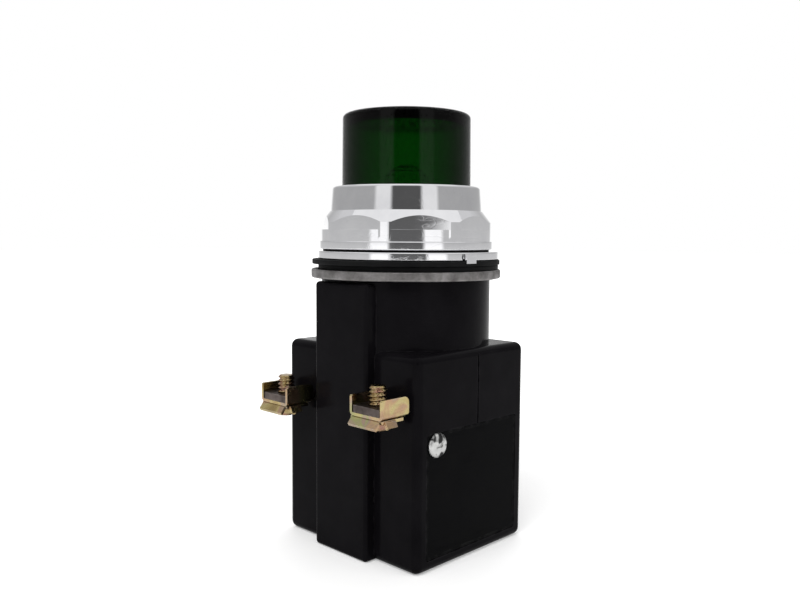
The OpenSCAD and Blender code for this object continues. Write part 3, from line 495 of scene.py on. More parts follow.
FINISHES = (
    Finish("moulded_black", "phenolic", (0.0034, 0.0030, 0.0038), (0.0055, 0.005, 0.006),
           roughness=(0.1, 0.2), specular=0.03,
           grain=0.10, grain_scale=1400, scratches=0.25, worn=Wear.USED, worn_colour=(0.02, 0.019, 0.021),
           dust=0.012),
    Finish("cover_black", "cover_plastic", (0.012, 0.012, 0.013), (0.018, 0.018, 0.019),
           roughness=(0.5, 0.65), specular=0.3,
           grain=0.5, grain_scale=2200, worn=Wear.USED, worn_colour=(0.06, 0.06, 0.06), dust=0.15),
    Finish("bright_zinc", "zinc_screw", (0.62, 0.62, 0.61), (0.52, 0.52, 0.5), roughness=(0.25, 0.4),
           metallic=1.0,
           turned=0.25, worn_colour=(0.75, 0.75, 0.74)),
    Finish("bare_plate_black", "blank_plate", (0.0022, 0.0022, 0.0026), (0.004, 0.004, 0.0042),
           roughness=(0.4, 0.55), specular=0.02,
           grain=0.3, grain_scale=5200, scratches=0.35, worn_colour=(0.05, 0.05, 0.05), dust=0.012),
    Blackened("rivet_bright", "bright_rivet", (0.84, 0.84, 0.83), (0.62, 0.62, 0.61), roughness=(0.3, 0.45),
              metallic=1.0,
           grain=0.5, grain_scale=1800, scratches=0.6, worn=Wear.USED, worn_colour=(0.9, 0.9, 0.9),
              dust=0.05),
    Finish("cast_zinc", "zinc_casting", (0.52, 0.52, 0.51), (0.40, 0.40, 0.40), roughness=(0.32, 0.5),
           metallic=1.0,
           turned=0.4, worn_colour=(0.7, 0.7, 0.69)),
    Finish("washer_zinc", "dull_zinc", (0.30, 0.29, 0.285), (0.13, 0.122, 0.12), roughness=(0.32, 0.5),
           metallic=1.0, patch=420,
           grain=0.6, grain_scale=1500, turned=0.25, scratches=0.5, worn=Wear.USED,
           worn_colour=(0.5, 0.49, 0.48), dust=0.05),
    Finish("gasket_rubber", "rubber", (0.004, 0.004, 0.0045), (0.009, 0.009, 0.009), roughness=(0.5, 0.7),
           specular=0.06,
           grain=0.9, grain_scale=2400, worn=Wear.LIGHT, worn_colour=(0.03, 0.03, 0.03), dust=0.05),
    Finish("bright_chrome", "chrome", (0.80, 0.80, 0.815), (0.74, 0.74, 0.76), roughness=(0.03, 0.08),
           metallic=1.0, patch=240,
           turned=0.07, turned_lines=4200, scratches=0.25, worn=Wear.LIGHT, worn_colour=(0.9, 0.9, 0.9),
           dust=0.05),
    Finish("socket_board", "brown_phenolic", (0.16, 0.075, 0.035), (0.22, 0.11, 0.05), roughness=(0.4, 0.55),
           grain=0.4, grain_scale=1800),
    Finish("plain_brass", "socket_brass", (0.72, 0.53, 0.24), (0.58, 0.42, 0.2), roughness=(0.25, 0.42),
           metallic=1.0, turned=0.15,
           worn_colour=(0.85, 0.68, 0.38)),
    Finish("spring_wire", "spring_steel", (0.56, 0.56, 0.56), (0.42, 0.42, 0.42), roughness=(0.28, 0.42),
           metallic=1.0),
    Finish("lamp_support", "lamp_wire", (0.5, 0.5, 0.52), (0.38, 0.38, 0.4), roughness=(0.3, 0.4),
           metallic=1.0),
    Stacked("core_laminations", "core_steel", (0.2, 0.2, 0.21), (0.14, 0.14, 0.15), roughness=(0.45, 0.6),
            metallic=1.0, axis=1, pitch=0.0005),
    Finish("bobbin_plastic", "bobbin_nylon", (0.70, 0.67, 0.56), (0.64, 0.6, 0.5), roughness=(0.45, 0.55),
           grain=0.3, dust=0.15),
    Stacked("fine_winding", "enamel_copper", (0.42, 0.14, 0.05), (0.5, 0.2, 0.07), roughness=(0.25, 0.35),
            coat=0.4, axis=2, pitch=0.00018),
    Stacked("thick_winding", "enamel_copper_light", (0.52, 0.21, 0.08), (0.6, 0.28, 0.1),
            roughness=(0.25, 0.35), coat=0.4, axis=2, pitch=0.0006),
    Finish("wire_black", "lead_black", (0.015, 0.015, 0.015), (0.025, 0.025, 0.025), roughness=(0.4, 0.5)),
    Finish("wire_red", "lead_red", (0.33, 0.02, 0.02), (0.26, 0.015, 0.015), roughness=(0.4, 0.5)),
    Finish("wire_white", "lead_white", (0.68, 0.68, 0.66), (0.6, 0.6, 0.57), roughness=(0.4, 0.5)),
    Finish("oiled_steel", "dark_steel", (0.155, 0.125, 0.115), (0.075, 0.06, 0.055), roughness=(0.3, 0.5),
           metallic=1.0, patch=420,
           grain=0.5, grain_scale=1700, scratches=0.6, worn=Wear.USED, worn_colour=(0.3, 0.27, 0.25),
           dust=0.03),
    Chromate("yellow_chromate", "yellow_zinc", (0.56, 0.42, 0.20), (0.46, 0.40, 0.18), roughness=(0.16, 0.3),
             metallic=1.0,
             scratches=0.5, worn=Wear.USED, worn_colour=(0.62, 0.52, 0.36), dust=0.03),
    Chromate("screw_chromate", "brassy_screw", (0.27, 0.15, 0.075), (0.19, 0.11, 0.06), roughness=(0.16, 0.3),
             metallic=1.0, film=260,
             scratches=0.4, worn=Wear.USED, worn_colour=(0.62, 0.47, 0.3), dust=0.03),
    Glass("lens_green", "green_lens", (0.30, 0.72, 0.34), (0.26, 0.68, 0.30), roughness=(0.015, 0.04),
          ior=1.22, scratches=0.3,
          absorbs=(0.0, 0.52, 0.1), density=1450.0),
    Glass("lamp_clear", "clear_glass", (0.96, 0.98, 0.97), (0.94, 0.96, 0.95), roughness=(0.01, 0.03),
          ior=1.5, scratches=0.1),
)


class Paintbox:
    """Every finish as a material, by the name of its slot."""

    def __init__(self) -> None:
        """Builds all the materials."""
        effects = Effects()
        self.by_slot = {finish.slot: finish.build(effects) for finish in FINISHES}

    def dress_nodes(self) -> None:
        """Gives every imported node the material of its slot."""
        for row in frame["record"]["subparts"]:
            node = frame["nodes"][row["node"]]
            node.data.materials.clear()
            node.data.materials.append(self.by_slot[row["material_slot"]])

    def dress(self, piece: bpy.types.Object, slot: str) -> None:
        """Gives a new piece one material.

        Args:
            piece: The piece.
            slot: The record's slot.
        """
        piece.data.materials.clear()
        piece.data.materials.append(self.by_slot[slot])


# ---------------------------------------------------------------- the bench


def deselect() -> None:
    """Leaves nothing selected."""
    for thing in bpy.context.view_layer.objects:
        thing.select_set(False)


def hold(thing: bpy.types.Object) -> None:
    """Makes one object the only selected one."""
    deselect()
    thing.select_set(True)
    bpy.context.view_layer.objects.active = thing


@contextmanager
def editing(thing: bpy.types.Object) -> Iterator[None]:
    """Edit mode on one object, with nothing picked at the start."""
    hold(thing)
    bpy.ops.object.mode_set(mode="EDIT")
    bpy.ops.mesh.select_all(action="DESELECT")
    try:
        yield
    finally:
        bpy.ops.object.mode_set(mode="OBJECT")


def pick(kind: str, test: Callable[[Any], bool]) -> int:
    """Selects the faces, edges or vertices that pass a test, in edit mode.

    Args:
        kind: FACE, EDGE or VERT.
        test: Says whether to take one.

    Returns:
        How many were taken.
    """
    bpy.ops.mesh.select_mode(type=kind)
    bpy.ops.mesh.select_all(action="DESELECT")
    mesh = bmesh.from_edit_mesh(bpy.context.edit_object.data)
    rows = {"FACE": mesh.faces, "EDGE": mesh.edges, "VERT": mesh.verts}[kind]
    taken = [row for row in rows if test(row)]
    for row in taken:
        row.select = True
    mesh.select_flush_mode()
    bmesh.update_edit_mesh(bpy.context.edit_object.data)
    return len(taken)


def finish_with(thing: bpy.types.Object, kind: str, **settings: Any) -> None:
    """Adds a modifier and applies it.

    Args:
        thing: The object.
        kind: The modifier's type.
        settings: Its properties.
    """
    hold(thing)
    modifier = thing.modifiers.new(kind.lower(), kind)
    for key, value in settings.items():
        setattr(modifier, key, value)
    bpy.ops.object.modifier_apply(modifier=modifier.name)


def settle(thing: bpy.types.Object) -> None:
    """Puts an object's place, turn and size into its mesh."""
    hold(thing)
    bpy.ops.object.transform_apply(location=True, rotation=True, scale=True)


def outwards() -> None:
    """Welds doubles and turns all faces outwards, in edit mode."""
    bpy.ops.mesh.select_mode(type="VERT")
    bpy.ops.mesh.select_all(action="SELECT")
    bpy.ops.mesh.remove_doubles(threshold=WELD)
    bpy.ops.mesh.normals_make_consistent(inside=False)


def block(name: str, low: Point, high: Point) -> bpy.types.Object:
    """A rectangular block between two corners.

    Args:
        name: The object's name.
        low: Its lowest corner.
        high: Its highest corner.

    Returns:
        The block.
    """
    deselect()
    middle = [(a + b) / 2 * MM for a, b in zip(low, high)]
    bpy.ops.mesh.primitive_cube_add(size=1, location=middle, scale=[(b - a) * MM for a, b in zip(low, high)])
    thing = bpy.context.object
    thing.name = name
    settle(thing)
    return thing


def rod(name: str, place: Flat, radius: float, low: float, high: float, sides: int = 96) -> bpy.types.Object:
    """An upright cylinder.

    Args:
        name: The object's name.
        place: Its axis in x and y.
        radius: Its radius.
        low: Its lower end.
        high: Its upper end.
        sides: Its number of sides.

    Returns:
        The cylinder.
    """
    deselect()
    middle = (place[0] * MM, place[1] * MM, (low + high) / 2 * MM)
    bpy.ops.mesh.primitive_cylinder_add(vertices=sides, radius=radius * MM, depth=(high - low) * MM,
                                        location=middle)
    thing = bpy.context.object
    thing.name = name
    settle(thing)
    return thing


def outline(name: str, points: Sequence[Point], closed: bool = True) -> bpy.types.Object:
    """A chain of edges, drawn by extruding one corner after another.

    Args:
        name: The object's name.
        points: The chain's corners.
        closed: Whether the last corner joins the first.

    Returns:
        The outline, as edges only.
    """
    deselect()
    bpy.ops.mesh.primitive_plane_add(size=MM, location=(0, 0, 0))
    thing = bpy.context.object
    thing.name = name
    with editing(thing):
        pick("VERT", lambda v: v.index > 0)
        bpy.ops.mesh.delete(type="VERT")
        mesh = bmesh.from_edit_mesh(thing.data)
        mesh.verts.ensure_lookup_table()
        mesh.verts[0].co = Vector(points[0]) * MM
        mesh.verts[0].select = True
        bmesh.update_edit_mesh(thing.data)
        for before, after in zip(points, points[1:]):
            step = (Vector(after) - Vector(before)) * MM
            bpy.ops.mesh.extrude_region_move(TRANSFORM_OT_translate={"value": step})
        if closed:
            mesh = bmesh.from_edit_mesh(thing.data)
            mesh.verts.ensure_lookup_table()
            ends = {0, len(points) - 1}
            pick("VERT", lambda v: v.index in ends)
            bpy.ops.mesh.edge_face_add()
    return thing


def prism(name: str, points: Sequence[Point], along: Point) -> bpy.types.Object:
    """A solid with straight sides, raised from a closed outline.

    Args:
        name: The object's name.
        points: The outline's corners.
        along: How far and which way it is raised.

    Returns:
        The solid.
    """
    thing = outline(name, points)
    with editing(thing):
        bpy.ops.mesh.select_mode(type="EDGE")
        bpy.ops.mesh.select_all(action="SELECT")
        bpy.ops.mesh.edge_face_add()
        bpy.ops.mesh.select_mode(type="FACE")
        bpy.ops.mesh.select_all(action="SELECT")
        bpy.ops.mesh.extrude_region_move(TRANSFORM_OT_translate={"value": Vector(along) * MM})
        outwards()
    return thing


def turned(name: str, profile: Sequence[Flat], sides: int = 160, centre: Flat = (0, 0)) -> bpy.types.Object:
    """A turned solid: a closed profile of radius and height, spun around an upright axis.

    Args:
        name: The object's name.
        profile: Corners as radius and height, the last joining the first.
        sides: Steps around.
        centre: The axis in x and y.

    Returns:
        The solid.
    """
    thing = outline(name, [(r + centre[0], centre[1], z) for r, z in profile])
    with editing(thing):
        if any(r < 1e-6 for r, _ in profile):
            pick("EDGE", lambda e: all(abs(v.co.x - centre[0] * MM) < WELD for v in e.verts))
            bpy.ops.mesh.delete(type="EDGE")
        bpy.ops.mesh.select_mode(type="VERT")
        bpy.ops.mesh.select_all(action="SELECT")
        bpy.ops.mesh.spin(steps=sides, angle=math.tau, center=(centre[0] * MM, centre[1] * MM, 0),
                          axis=(0, 0, 1))
        outwards()
    return thing


def join(name: str, pieces: Sequence[bpy.types.Object]) -> bpy.types.Object:
    """Joins loose shells into one object.

    Args:
        name: The new name.
        pieces: The objects, the first of which is kept.

    Returns:
        The joined object.
    """
    deselect()
    for piece in pieces:
        piece.select_set(True)
    bpy.context.view_layer.objects.active = pieces[0]
    if len(pieces) > 1:
        bpy.ops.object.join()
    pieces[0].name = name
    return pieces[0]


def carve(thing: bpy.types.Object, cutter: bpy.types.Object, operation: str = "DIFFERENCE") -> None:
    """Combines an object with a tool shape, which is used up.

    Args:
        thing: The object that is kept.
        cutter: The tool shape.
        operation: DIFFERENCE, UNION or INTERSECT.
    """
    finish_with(thing, "BOOLEAN", operation=operation, object=cutter, solver="EXACT")
    bpy.data.objects.remove(cutter, do_unlink=True)


def soften(thing: bpy.types.Object, width: float, segments: int = 2, angle: float = 30.0,
           smooth: float = 40.0) -> None:
    """Rounds all sharp edges and shades the rest smooth.

    Args:
        thing: The object.
        width: The rounding's width.
        segments: Steps across it.
        angle: The smallest bend that counts as sharp, in degrees.
        smooth: The largest bend that is shaded smooth, in degrees.
    """
    with editing(thing):
        bpy.ops.mesh.select_mode(type="VERT")
        bpy.ops.mesh.select_all(action="SELECT")
        bpy.ops.mesh.remove_doubles(threshold=WELD)
        bpy.ops.mesh.dissolve_limited(angle_limit=math.radians(0.4))
    finish_with(thing, "BEVEL", width=width * MM, segments=segments, limit_method="ANGLE",
                angle_limit=math.radians(angle), use_clamp_overlap=True)
    smooth_shade(thing, smooth)


def smooth_shade(thing: bpy.types.Object, angle: float = 40.0) -> None:
    """Shades smooth across bends up to an angle, and weights the normals by face size."""
    hold(thing)
    bpy.ops.object.shade_smooth_by_angle(angle=math.radians(angle))
    finish_with(thing, "WEIGHTED_NORMAL", keep_sharp=True, weight=60)


def place(thing: bpy.types.Object, body: str, *nodes: str) -> None:
    """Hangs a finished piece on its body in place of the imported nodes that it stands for.

    Args:
        thing: The piece.
        body: The body that it moves with.
        nodes: The nodes that it replaces.
    """
    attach(thing, body)
    if nodes:
        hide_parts(*nodes)
    LOG.info("%s: %d faces on %s", thing.name, len(thing.data.polygons), body)


def arc(centre: Flat, radius: float, start: float, end: float, steps: int = 4) -> list[Flat]:
    """Points on an arc in a flat plane.

    Args:
        centre: The arc's centre.
        radius: Its radius.
        start: First angle in degrees.
        end: Last angle in degrees.
        steps: Number of steps.

    Returns:
        The points, both ends included.
    """
    angles = [math.radians(start + (end - start) * i / steps) for i in range(steps + 1)]
    return [(centre[0] + radius * math.cos(a), centre[1] + radius * math.sin(a)) for a in angles]


def ring_profile(inner: float, outer: float, low: float, high: float, rounding: float) -> list[Flat]:
    """A ring's profile with rounded outer edges and lightly broken inner ones.

    Args:
        inner: Bore radius.
        outer: Outer radius.
        low: Lower face.
        high: Upper face.
        rounding: Radius of the outer edges.

    Returns:
        Corners as radius and height.
    """
    r, b = rounding, min(rounding, 0.12)
    return [
        (inner + b, low), *arc((outer - r, low + r), r, -90, 0), *arc((outer - r, high - r), r, 0, 90),
        (inner + b, high), (inner, high - b), (inner, low + b),
    ]


def helix(name: str, tooth: Sequence[Flat], pitch: float, turns: int, steps: int = 48) -> bpy.types.Object:
    """A closed ridge that climbs around the upright axis.

    Args:
        name: The object's name.
        tooth: The ridge's profile as radius and height.
        pitch: Rise of one turn.
        turns: Number of turns.
        steps: Steps in one turn.

    Returns:
        The ridge, closed at both ends.
    """
    thing = outline(name, [(r, 0, z) for r, z in tooth])
    finish_with(thing, "SCREW", angle=math.tau, screw_offset=pitch * MM, iterations=turns, steps=steps,
                render_steps=steps, use_merge_vertices=False)
    with editing(thing):
        bpy.ops.mesh.select_all(action="SELECT")
        bpy.ops.mesh.remove_doubles(threshold=WELD)
        bpy.ops.mesh.select_all(action="DESELECT")
        bpy.ops.mesh.select_mode(type="EDGE")
        bpy.ops.mesh.select_non_manifold(extend=False)
        bpy.ops.mesh.fill_holes(sides=0)
        outwards()
    return thing


def moved_copy(thing: bpy.types.Object, name: str, shift: Point) -> bpy.types.Object:
    """A copy with its own mesh, moved.

    Args:
        thing: The object to copy.
        name: The copy's name.
        shift: How far the copy is moved.

    Returns:
        The copy, at the origin.
    """
    hold(thing)
    bpy.ops.object.duplicate()
    copy = bpy.context.object
    copy.name = name
    copy.location = Vector(shift) * MM
    settle(copy)
    return copy


# ---------------------------------------------------------------- housing


@dataclass
class Housing:
    """The black moulded body with its cover, the bare plate and the rivet."""

    half_w: float = 19.55
    half_d: float = 16.7
    height: float = 42.4
    wall: float = 2.0
    roof: float = 2.2
    edge: float = 1.6
    neck_r: float = 18.1
    neck_top: float = 56.1
    rib_half: float = 7.8
    rib_reach: float = 19.0
    rib_top: float = 55.6
    rib_edge: float = 0.8
    post: Flat = (14.7, 11.85)
    post_r: float = 3.1
    plate_half: float = 13.9
    plate_low: float = 2.4
    plate_high: float = 27.0
    recess: float = 0.4
    rivet_at: Flat = (-11.2, 24.8)
    rivet_r: float = 2.45

    def build(self, paints: Paintbox) -> None:
        """Builds and places every piece of the body."""
        for thing, slot, nodes in (
            (self.shell(), "phenolic", ("housing",)),
            (self.plate(), "blank_plate", ("rating_plate",)),
            (self.rivet(), "bright_rivet", ("plate_rivet",)),
            (self.cover(), "cover_plastic", ("rear_cover",)),
        ):
            paints.dress(thing, slot)
            place(thing, "base", *nodes)
        screw = self.cover_screw()
        other = moved_copy(screw, "cover_screw_left_piece", (-2 * self.post[0], -2 * self.post[1], 0))
        for thing, node in ((screw, "cover_screw_right"), (other, "cover_screw_left")):
            paints.dress(thing, "zinc_screw")
            place(thing, "base", node)

    def shell(self) -> bpy.types.Object:
        """The hollow body with its neck, ribs, slots, recess and groove."""
        body = block("housing_piece", (-self.half_w, -self.half_d, 0),
                     (self.half_w, self.half_d, self.height))
        self._round(body, self.edge, 5)
        rib = block("rib", (-self.rib_half, -self.rib_reach, 0),
                    (self.rib_half, self.rib_reach, self.rib_top))
        self._round(rib, self.rib_edge, 4)
        carve(body, rib, "UNION")
        top, r = self.neck_top, self.neck_r
        neck = turned("neck",
                      [(0, 39), (r, 39), (r, top - 0.3), (r - 0.1, top - 0.08), (r - 0.3, top), (0, top)])
        carve(body, neck, "UNION")
        roof = self.height - self.roof
        inner = (self.half_w - self.wall, self.half_d - self.wall)
        carve(body, block("cavity", (-inner[0], -inner[1], -1), (inner[0], inner[1], roof)))
        for s in (-1, 1):
            x, y = s * self.post[0], s * self.post[1]
            carve(body, rod("post", (x, y), self.post_r, 2.5, 20.5, 48), "UNION")
            carve(body, rod("post_bore", (x, y), 1.3, 0, 11.4, 32))
        carve(body, rod("throat", (0, 0), 10.5, roof - 1, top + 1))
        carve(body, rod("bore", (0, 0), 15.02, top - 9.7, top + 1))
        for x, z in ((14, 33.4), (-14, 31.9)):
            carve(body, block("slot", (x - 2.55, -self.half_d - 1, z - 1.5),
                              (x + 2.55, -self.half_d + 3, z + 0.05)))
        carve(body, self._recess())
        carve(body, block("groove", (self.half_w - 0.3, 1.0, self.plate_high - 0.2),
                          (self.half_w + 1, 1.4, self.height + 1)))
        carve(body, self._rivet_bore())
        soften(body, 0.14, 2, angle=32)
        return body

    @staticmethod
    def _round(thing: bpy.types.Object, radius: float, segments: int) -> None:
        """Rounds every edge of a plain block, in edit mode."""
        with editing(thing):
            bpy.ops.mesh.select_mode(type="EDGE")
            bpy.ops.mesh.select_all(action="SELECT")
            bpy.ops.mesh.bevel(offset=radius * MM, segments=segments, affect="EDGES", clamp_overlap=True)

    def _recess(self) -> bpy.types.Object:
        """The shallow place for the plate, with rounded corners."""
        half, low, high, r = self.plate_half + 0.1, self.plate_low - 0.1, self.plate_high + 0.1, 0.6
        corners = [*arc((half - r, high - r), r, 0, 90), *arc((-half + r, high - r), r, 90, 180),
                   *arc((-half + r, low + r), r, 180, 270), *arc((half - r, low + r), r, 270, 360)]
        return prism("recess", [(self.half_w - self.recess, y, z) for y, z in corners], (2, 0, 0))

    def _rivet_bore(self) -> bpy.types.Object:
        """The bore that the rivet's shank fills."""
        y, z = self.rivet_at
        circle = arc((y, z), 1.05, 0, 345, 23)
        return prism("rivet_bore", [(self.half_w - self.wall - 0.5, a, b) for a, b in circle], (3, 0, 0))

    def plate(self) -> bpy.types.Object:
        """The bare plate, with a thin raised border."""
        half, low, high, r = self.plate_half, self.plate_low, self.plate_high, 0.5
        corners = [*arc((half - r, high - r), r, 0, 90), *arc((-half + r, high - r), r, 90, 180),
                   *arc((-half + r, low + r), r, 180, 270), *arc((half - r, low + r), r, 270, 360)]
        x = self.half_w - self.recess
        thing = prism("rating_plate_piece", [(x, a, b) for a, b in corners], (0.3, 0, 0))
        inner = [(a * (1 - 0.45 / half), b + (0.45 if b < 14 else -0.45)) for a, b in corners]
        carve(thing, prism("sunk_field", [(x + 0.25, a, b) for a, b in inner], (1, 0, 0)))
        y, z = self.rivet_at
        carve(thing, prism("pad", [(x, a, b) for a, b in arc((y, z), 1.9, 0, 345, 23)], (0.3, 0, 0)), "UNION")
        carve(thing, prism("hole", [(x - 1, a, b) for a, b in arc((y, z), 1.05, 0, 345, 23)], (3, 0, 0)))
        soften(thing, 0.02, 1)
        return thing

    def rivet(self) -> bpy.types.Object:
        """A drive rivet with a domed, notched head."""
        r, h = self.rivet_r, 0.9
        profile = [(0, -1.9), (0.9, -1.9), (1.0, -1.7), (1.0, 0), (r - 0.1, 0), (r, 0.1), (r, 0.26),
                   *arc((r - 0.95, -0.02), 1.0, 20, 72, 5), (0.6, h - 0.02), (0, h)]
        thing = turned("plate_rivet_piece", profile, 72)
        carve(thing, block("notch", (-0.35, -0.9, h - 0.35), (0.35, 0.9, h + 1)))
        hold(thing)
        thing.rotation_euler = (0, math.radians(90), 0)
        y, z = self.rivet_at
        thing.location = Vector((self.half_w - self.recess + 0.3, y, z)) * MM
        settle(thing)
        soften(thing, 0.06, 2)
        return thing

    def cover(self) -> bpy.types.Object:
        """The rear cover with a sunk panel and two screw pockets."""
        w, d, t = self.half_w - self.wall - 0.1, self.half_d - self.wall - 0.1, 2.5
        thing = block("rear_cover_piece", (-w, -d, 0), (w, d, t))
        with editing(thing):
            pick("FACE", lambda f: f.normal.z < -0.9)
            bpy.ops.mesh.inset(thickness=6.4 * MM, depth=0)
            bpy.ops.mesh.inset(thickness=0.3 * MM, depth=-0.5 * MM)
        for s in (-1, 1):
            x, y = s * self.post[0], s * self.post[1]
            carve(thing, rod("pocket", (x, y), 2.55, -1, 1.4, 48))
            carve(thing, rod("clearance", (x, y), 1.3, -1, 4, 32))
        soften(thing, 0.2, 3)
        return thing

    def cover_screw(self) -> bpy.types.Object:
        """A slotted pan-head screw that holds the cover."""
        r, low, t = 2.4, 0.2, 1.2
        profile = [(0, low), *arc((r - 0.7, low + 0.7), 0.7, -90, 0), (r, low + t), (1.25, low + t),
                   (1.25, low + t + 8.6), (0.9, low + t + 9), (0, low + t + 9)]
        thing = turned("cover_screw_right_piece", profile, 64)
        carve(thing, block("slot", (-3, -0.4, low - 1), (3, 0.4, low + 0.6)))
        thing.location = Vector((*self.post, 0)) * MM
        settle(thing)
        soften(thing, 0.08, 2)
        return thing


# ---------------------------------------------------------------- rings and nut


@dataclass
class RingStack:
    """Bushing, washer, gaskets and trim ring between the neck and the nut."""

    bore: float = 15.13
    shift: Flat = (0.357, 0.350)
    shifted_bore: float = 15.68
    tab_turn: float = -6.5

    def build(self, paints: Paintbox) -> None:
        """Builds and places the rings."""
        for thing, slot, body, node in (
            (self.ring("mounting_washer", self.bore, 20.3, 56.1, 58.0, 0.4), "dull_zinc", "base",
             "mounting_washer"),
            (self.ring("lower_gasket", self.shifted_bore, 19.3, 58.0, 59.0, 0.16, self.shift), "rubber",
             "base", "lower_gasket"),
            (self.ring("upper_gasket", self.bore, 20.1, 59.0, 60.05, 0.22), "rubber", "base", "upper_gasket"),
            (self.trim(), "chrome", "base", "trim_ring"),
            (self.ring("nut_gasket", self.bore, 17.8, 61.75, 62.15, 0.1), "rubber", "nut_travel",
             "nut_gasket"),
            (self.ring("lens_gasket", 13.1, 13.6, 71.6, 72.6, 0.2), "rubber", "lens_travel", "lens_gasket"),
            (self.bushing(), "zinc_casting", "base", "bushing"),
        ):
            paints.dress(thing, slot)
            place(thing, body, node)

    @staticmethod
    def ring(name: str, inner: float, outer: float, low: float, high: float, rounding: float,
             centre: Flat = (0, 0)) -> bpy.types.Object:
        """One plain ring with rounded edges."""
        thing = turned(name + "_piece", ring_profile(inner, outer, low, high, rounding), 180, centre)
        smooth_shade(thing, 35)
        return thing

    def trim(self) -> bpy.types.Object:
        """The chromed trim ring with its locating tab bent down over the gaskets."""
        thing = turned("trim_ring_piece", ring_profile(self.shifted_bore, 19.3, 60.05, 61.75, 0.3), 180,
                       self.shift)
        arm = block("tab", (17.7, -1.3, 60.55), (20.4, 1.3, 61.45))
        drop = block("drop", (19.9, -1.3, 59.6), (20.4, 1.3, 61.45))
        for piece in (arm, drop):
            piece.rotation_euler = (0, 0, math.radians(self.tab_turn))
            settle(piece)
        carve(arm, drop, "UNION")
        carve(thing, arm, "UNION")
        soften(thing, 0.1, 2, angle=35)
        return thing

    def bushing(self) -> bpy.types.Object:
        """The die-cast bushing with its helical outer thread."""
        r, root, low, top = 14.98, 14.48, 46.4, 71.6
        pitch = 1.41
        core = turned("bushing_piece",
                      [(13.0, low), (r, low), (r, 56.5), (root, 57.0), (root, top - 0.5), (root - 0.3, top),
                       (13.05, top), (13.05, 64.2), (11.6, 64.2), (11.6, 49.4), (13.0, 49.4)], 144)
        tooth = [(root - 0.3, 0), (root - 0.3, pitch * 0.84), (root, pitch * 0.8), (r, pitch * 0.46),
                 (r, pitch * 0.38), (root, pitch * 0.04)]
        ridge = helix("ridge", [(a, b + 56.8) for a, b in tooth], pitch, 10, 72)
        smooth_shade(core, 35)
        smooth_shade(ridge, 35)
        return join("bushing_piece", [core, ridge])


@dataclass
class RetainingNut:
    """The chromed nut: round flange and skirt, octagon with a chamfer, and a smooth collar."""

    bore: float = 15.04
    lip: float = 14.15
    lip_low: float = 72.45
    flange: Flat = (18.5, 63.85)
    low: float = 62.15
    skirt: Flat = (18.15, 66.2)
    octagon_top: float = 67.7
    cone: Flat = (16.3, 70.1)
    collar: float = 16.1
    top: Flat = (15.75, 75.25)
    flats: float = 34.3
    corner_turn: float = -13.5

    def build(self, paints: Paintbox) -> None:
        """Builds and places the nut."""
        thing = self.nut()
        paints.dress(thing, "chrome")
        place(thing, "nut", "retaining_nut")

    def nut(self) -> bpy.types.Object:
        """The nut: a turned blank whose eight flats are cut by one tool."""
        top_r, top = self.top
        profile = [
            (self.bore + 0.4, self.low), *arc((self.flange[0] - 0.25, self.low + 0.25), 0.25, -90, 0, 3),
            *arc((self.flange[0] - 0.25, self.flange[1] - 0.25), 0.25, 0, 90, 3),
            (self.skirt[0] + 0.02, self.flange[1]),
            (self.skirt[0], self.flange[1] + 0.05), (self.skirt[0], self.octagon_top), self.cone,
            (self.collar + 0.02, self.cone[1]),
            (self.collar, self.cone[1] + 0.05), *arc((top_r - 0.6, top - 0.6), 0.6, 0, 90, 5),
            (self.lip + 0.15, top), (self.lip, top - 0.15),
            (self.lip, self.lip_low), (self.bore, self.lip_low), (self.bore, self.low + 0.4),
        ]
        nut = turned("retaining_nut_piece", profile, 192)
        tool = rod("octagon_tool", (0, 0), 24, self.skirt[1], self.cone[1], 64)
        hole = rod("octagon", (0, 0), self.flats / 2 / math.cos(math.pi / 8), self.skirt[1] - 1,
                   self.cone[1] + 1, 8)
        hole.rotation_euler = (0, 0, math.radians(self.corner_turn))
        settle(hole)
        carve(tool, hole)
        carve(nut, tool)
        soften(nut, 0.16, 3, angle=24, smooth=30)
        return nut


# ---------------------------------------------------------------- lens


@dataclass
class Lens:
    """The green lens, a thick cup with a threaded skirt."""

    radius: float = 13.75
    top_radius: float = 13.6
    shoulder: float = 72.6
    top: float = 90.5
    wall: float = 2.2
    crown: float = 2.1
    edge: float = 0.9
    skirt_low: float = 64.6
    thread: float = 13.0
    skirt_wall: float = 2.2
    pitch: float = 1.5

    def build(self, paints: Paintbox) -> None:
        """Builds and places the lens."""
        thing = self.cup()
        paints.dress(thing, "green_lens")
        place(thing, "lens", "lens")

    def cup(self) -> bpy.types.Object:
        """The cup, spun from one profile."""
        inner, low, r = self.thread - self.skirt_wall, self.skirt_low, self.edge
        bore, bore_top = self.radius - self.wall, self.top_radius - self.wall
        threads: list[Flat] = []
        for turn in range(4):
            z = low + 0.5 + (turn + 0.5) * self.pitch
            threads += [(self.thread, z - 0.6), (self.thread - 0.4, z - 0.06), (self.thread - 0.4, z + 0.06),
                        (self.thread, z + 0.6)]
        ceiling = self.top - self.crown
        profile = [
            (inner, low), (self.thread - 0.3, low), (self.thread, low + 0.3), *threads,
            (self.thread, self.shoulder),
            *arc((self.radius - 0.2, self.shoulder + 0.2), 0.2, -90, 0, 3),
            *arc((self.top_radius - r, self.top - r), r, 0, 90, 8),
            (0, self.top), (0, ceiling), *arc((bore_top - 0.9, ceiling - 0.9), 0.9, 90, 0, 6),
            (bore, self.shoulder + 1), (inner, self.shoulder - 0.5),
        ]
        thing = turned("lens_piece", profile, 192)
        smooth_shade(thing, 32)
        return thing


# ---------------------------------------------------------------- terminals


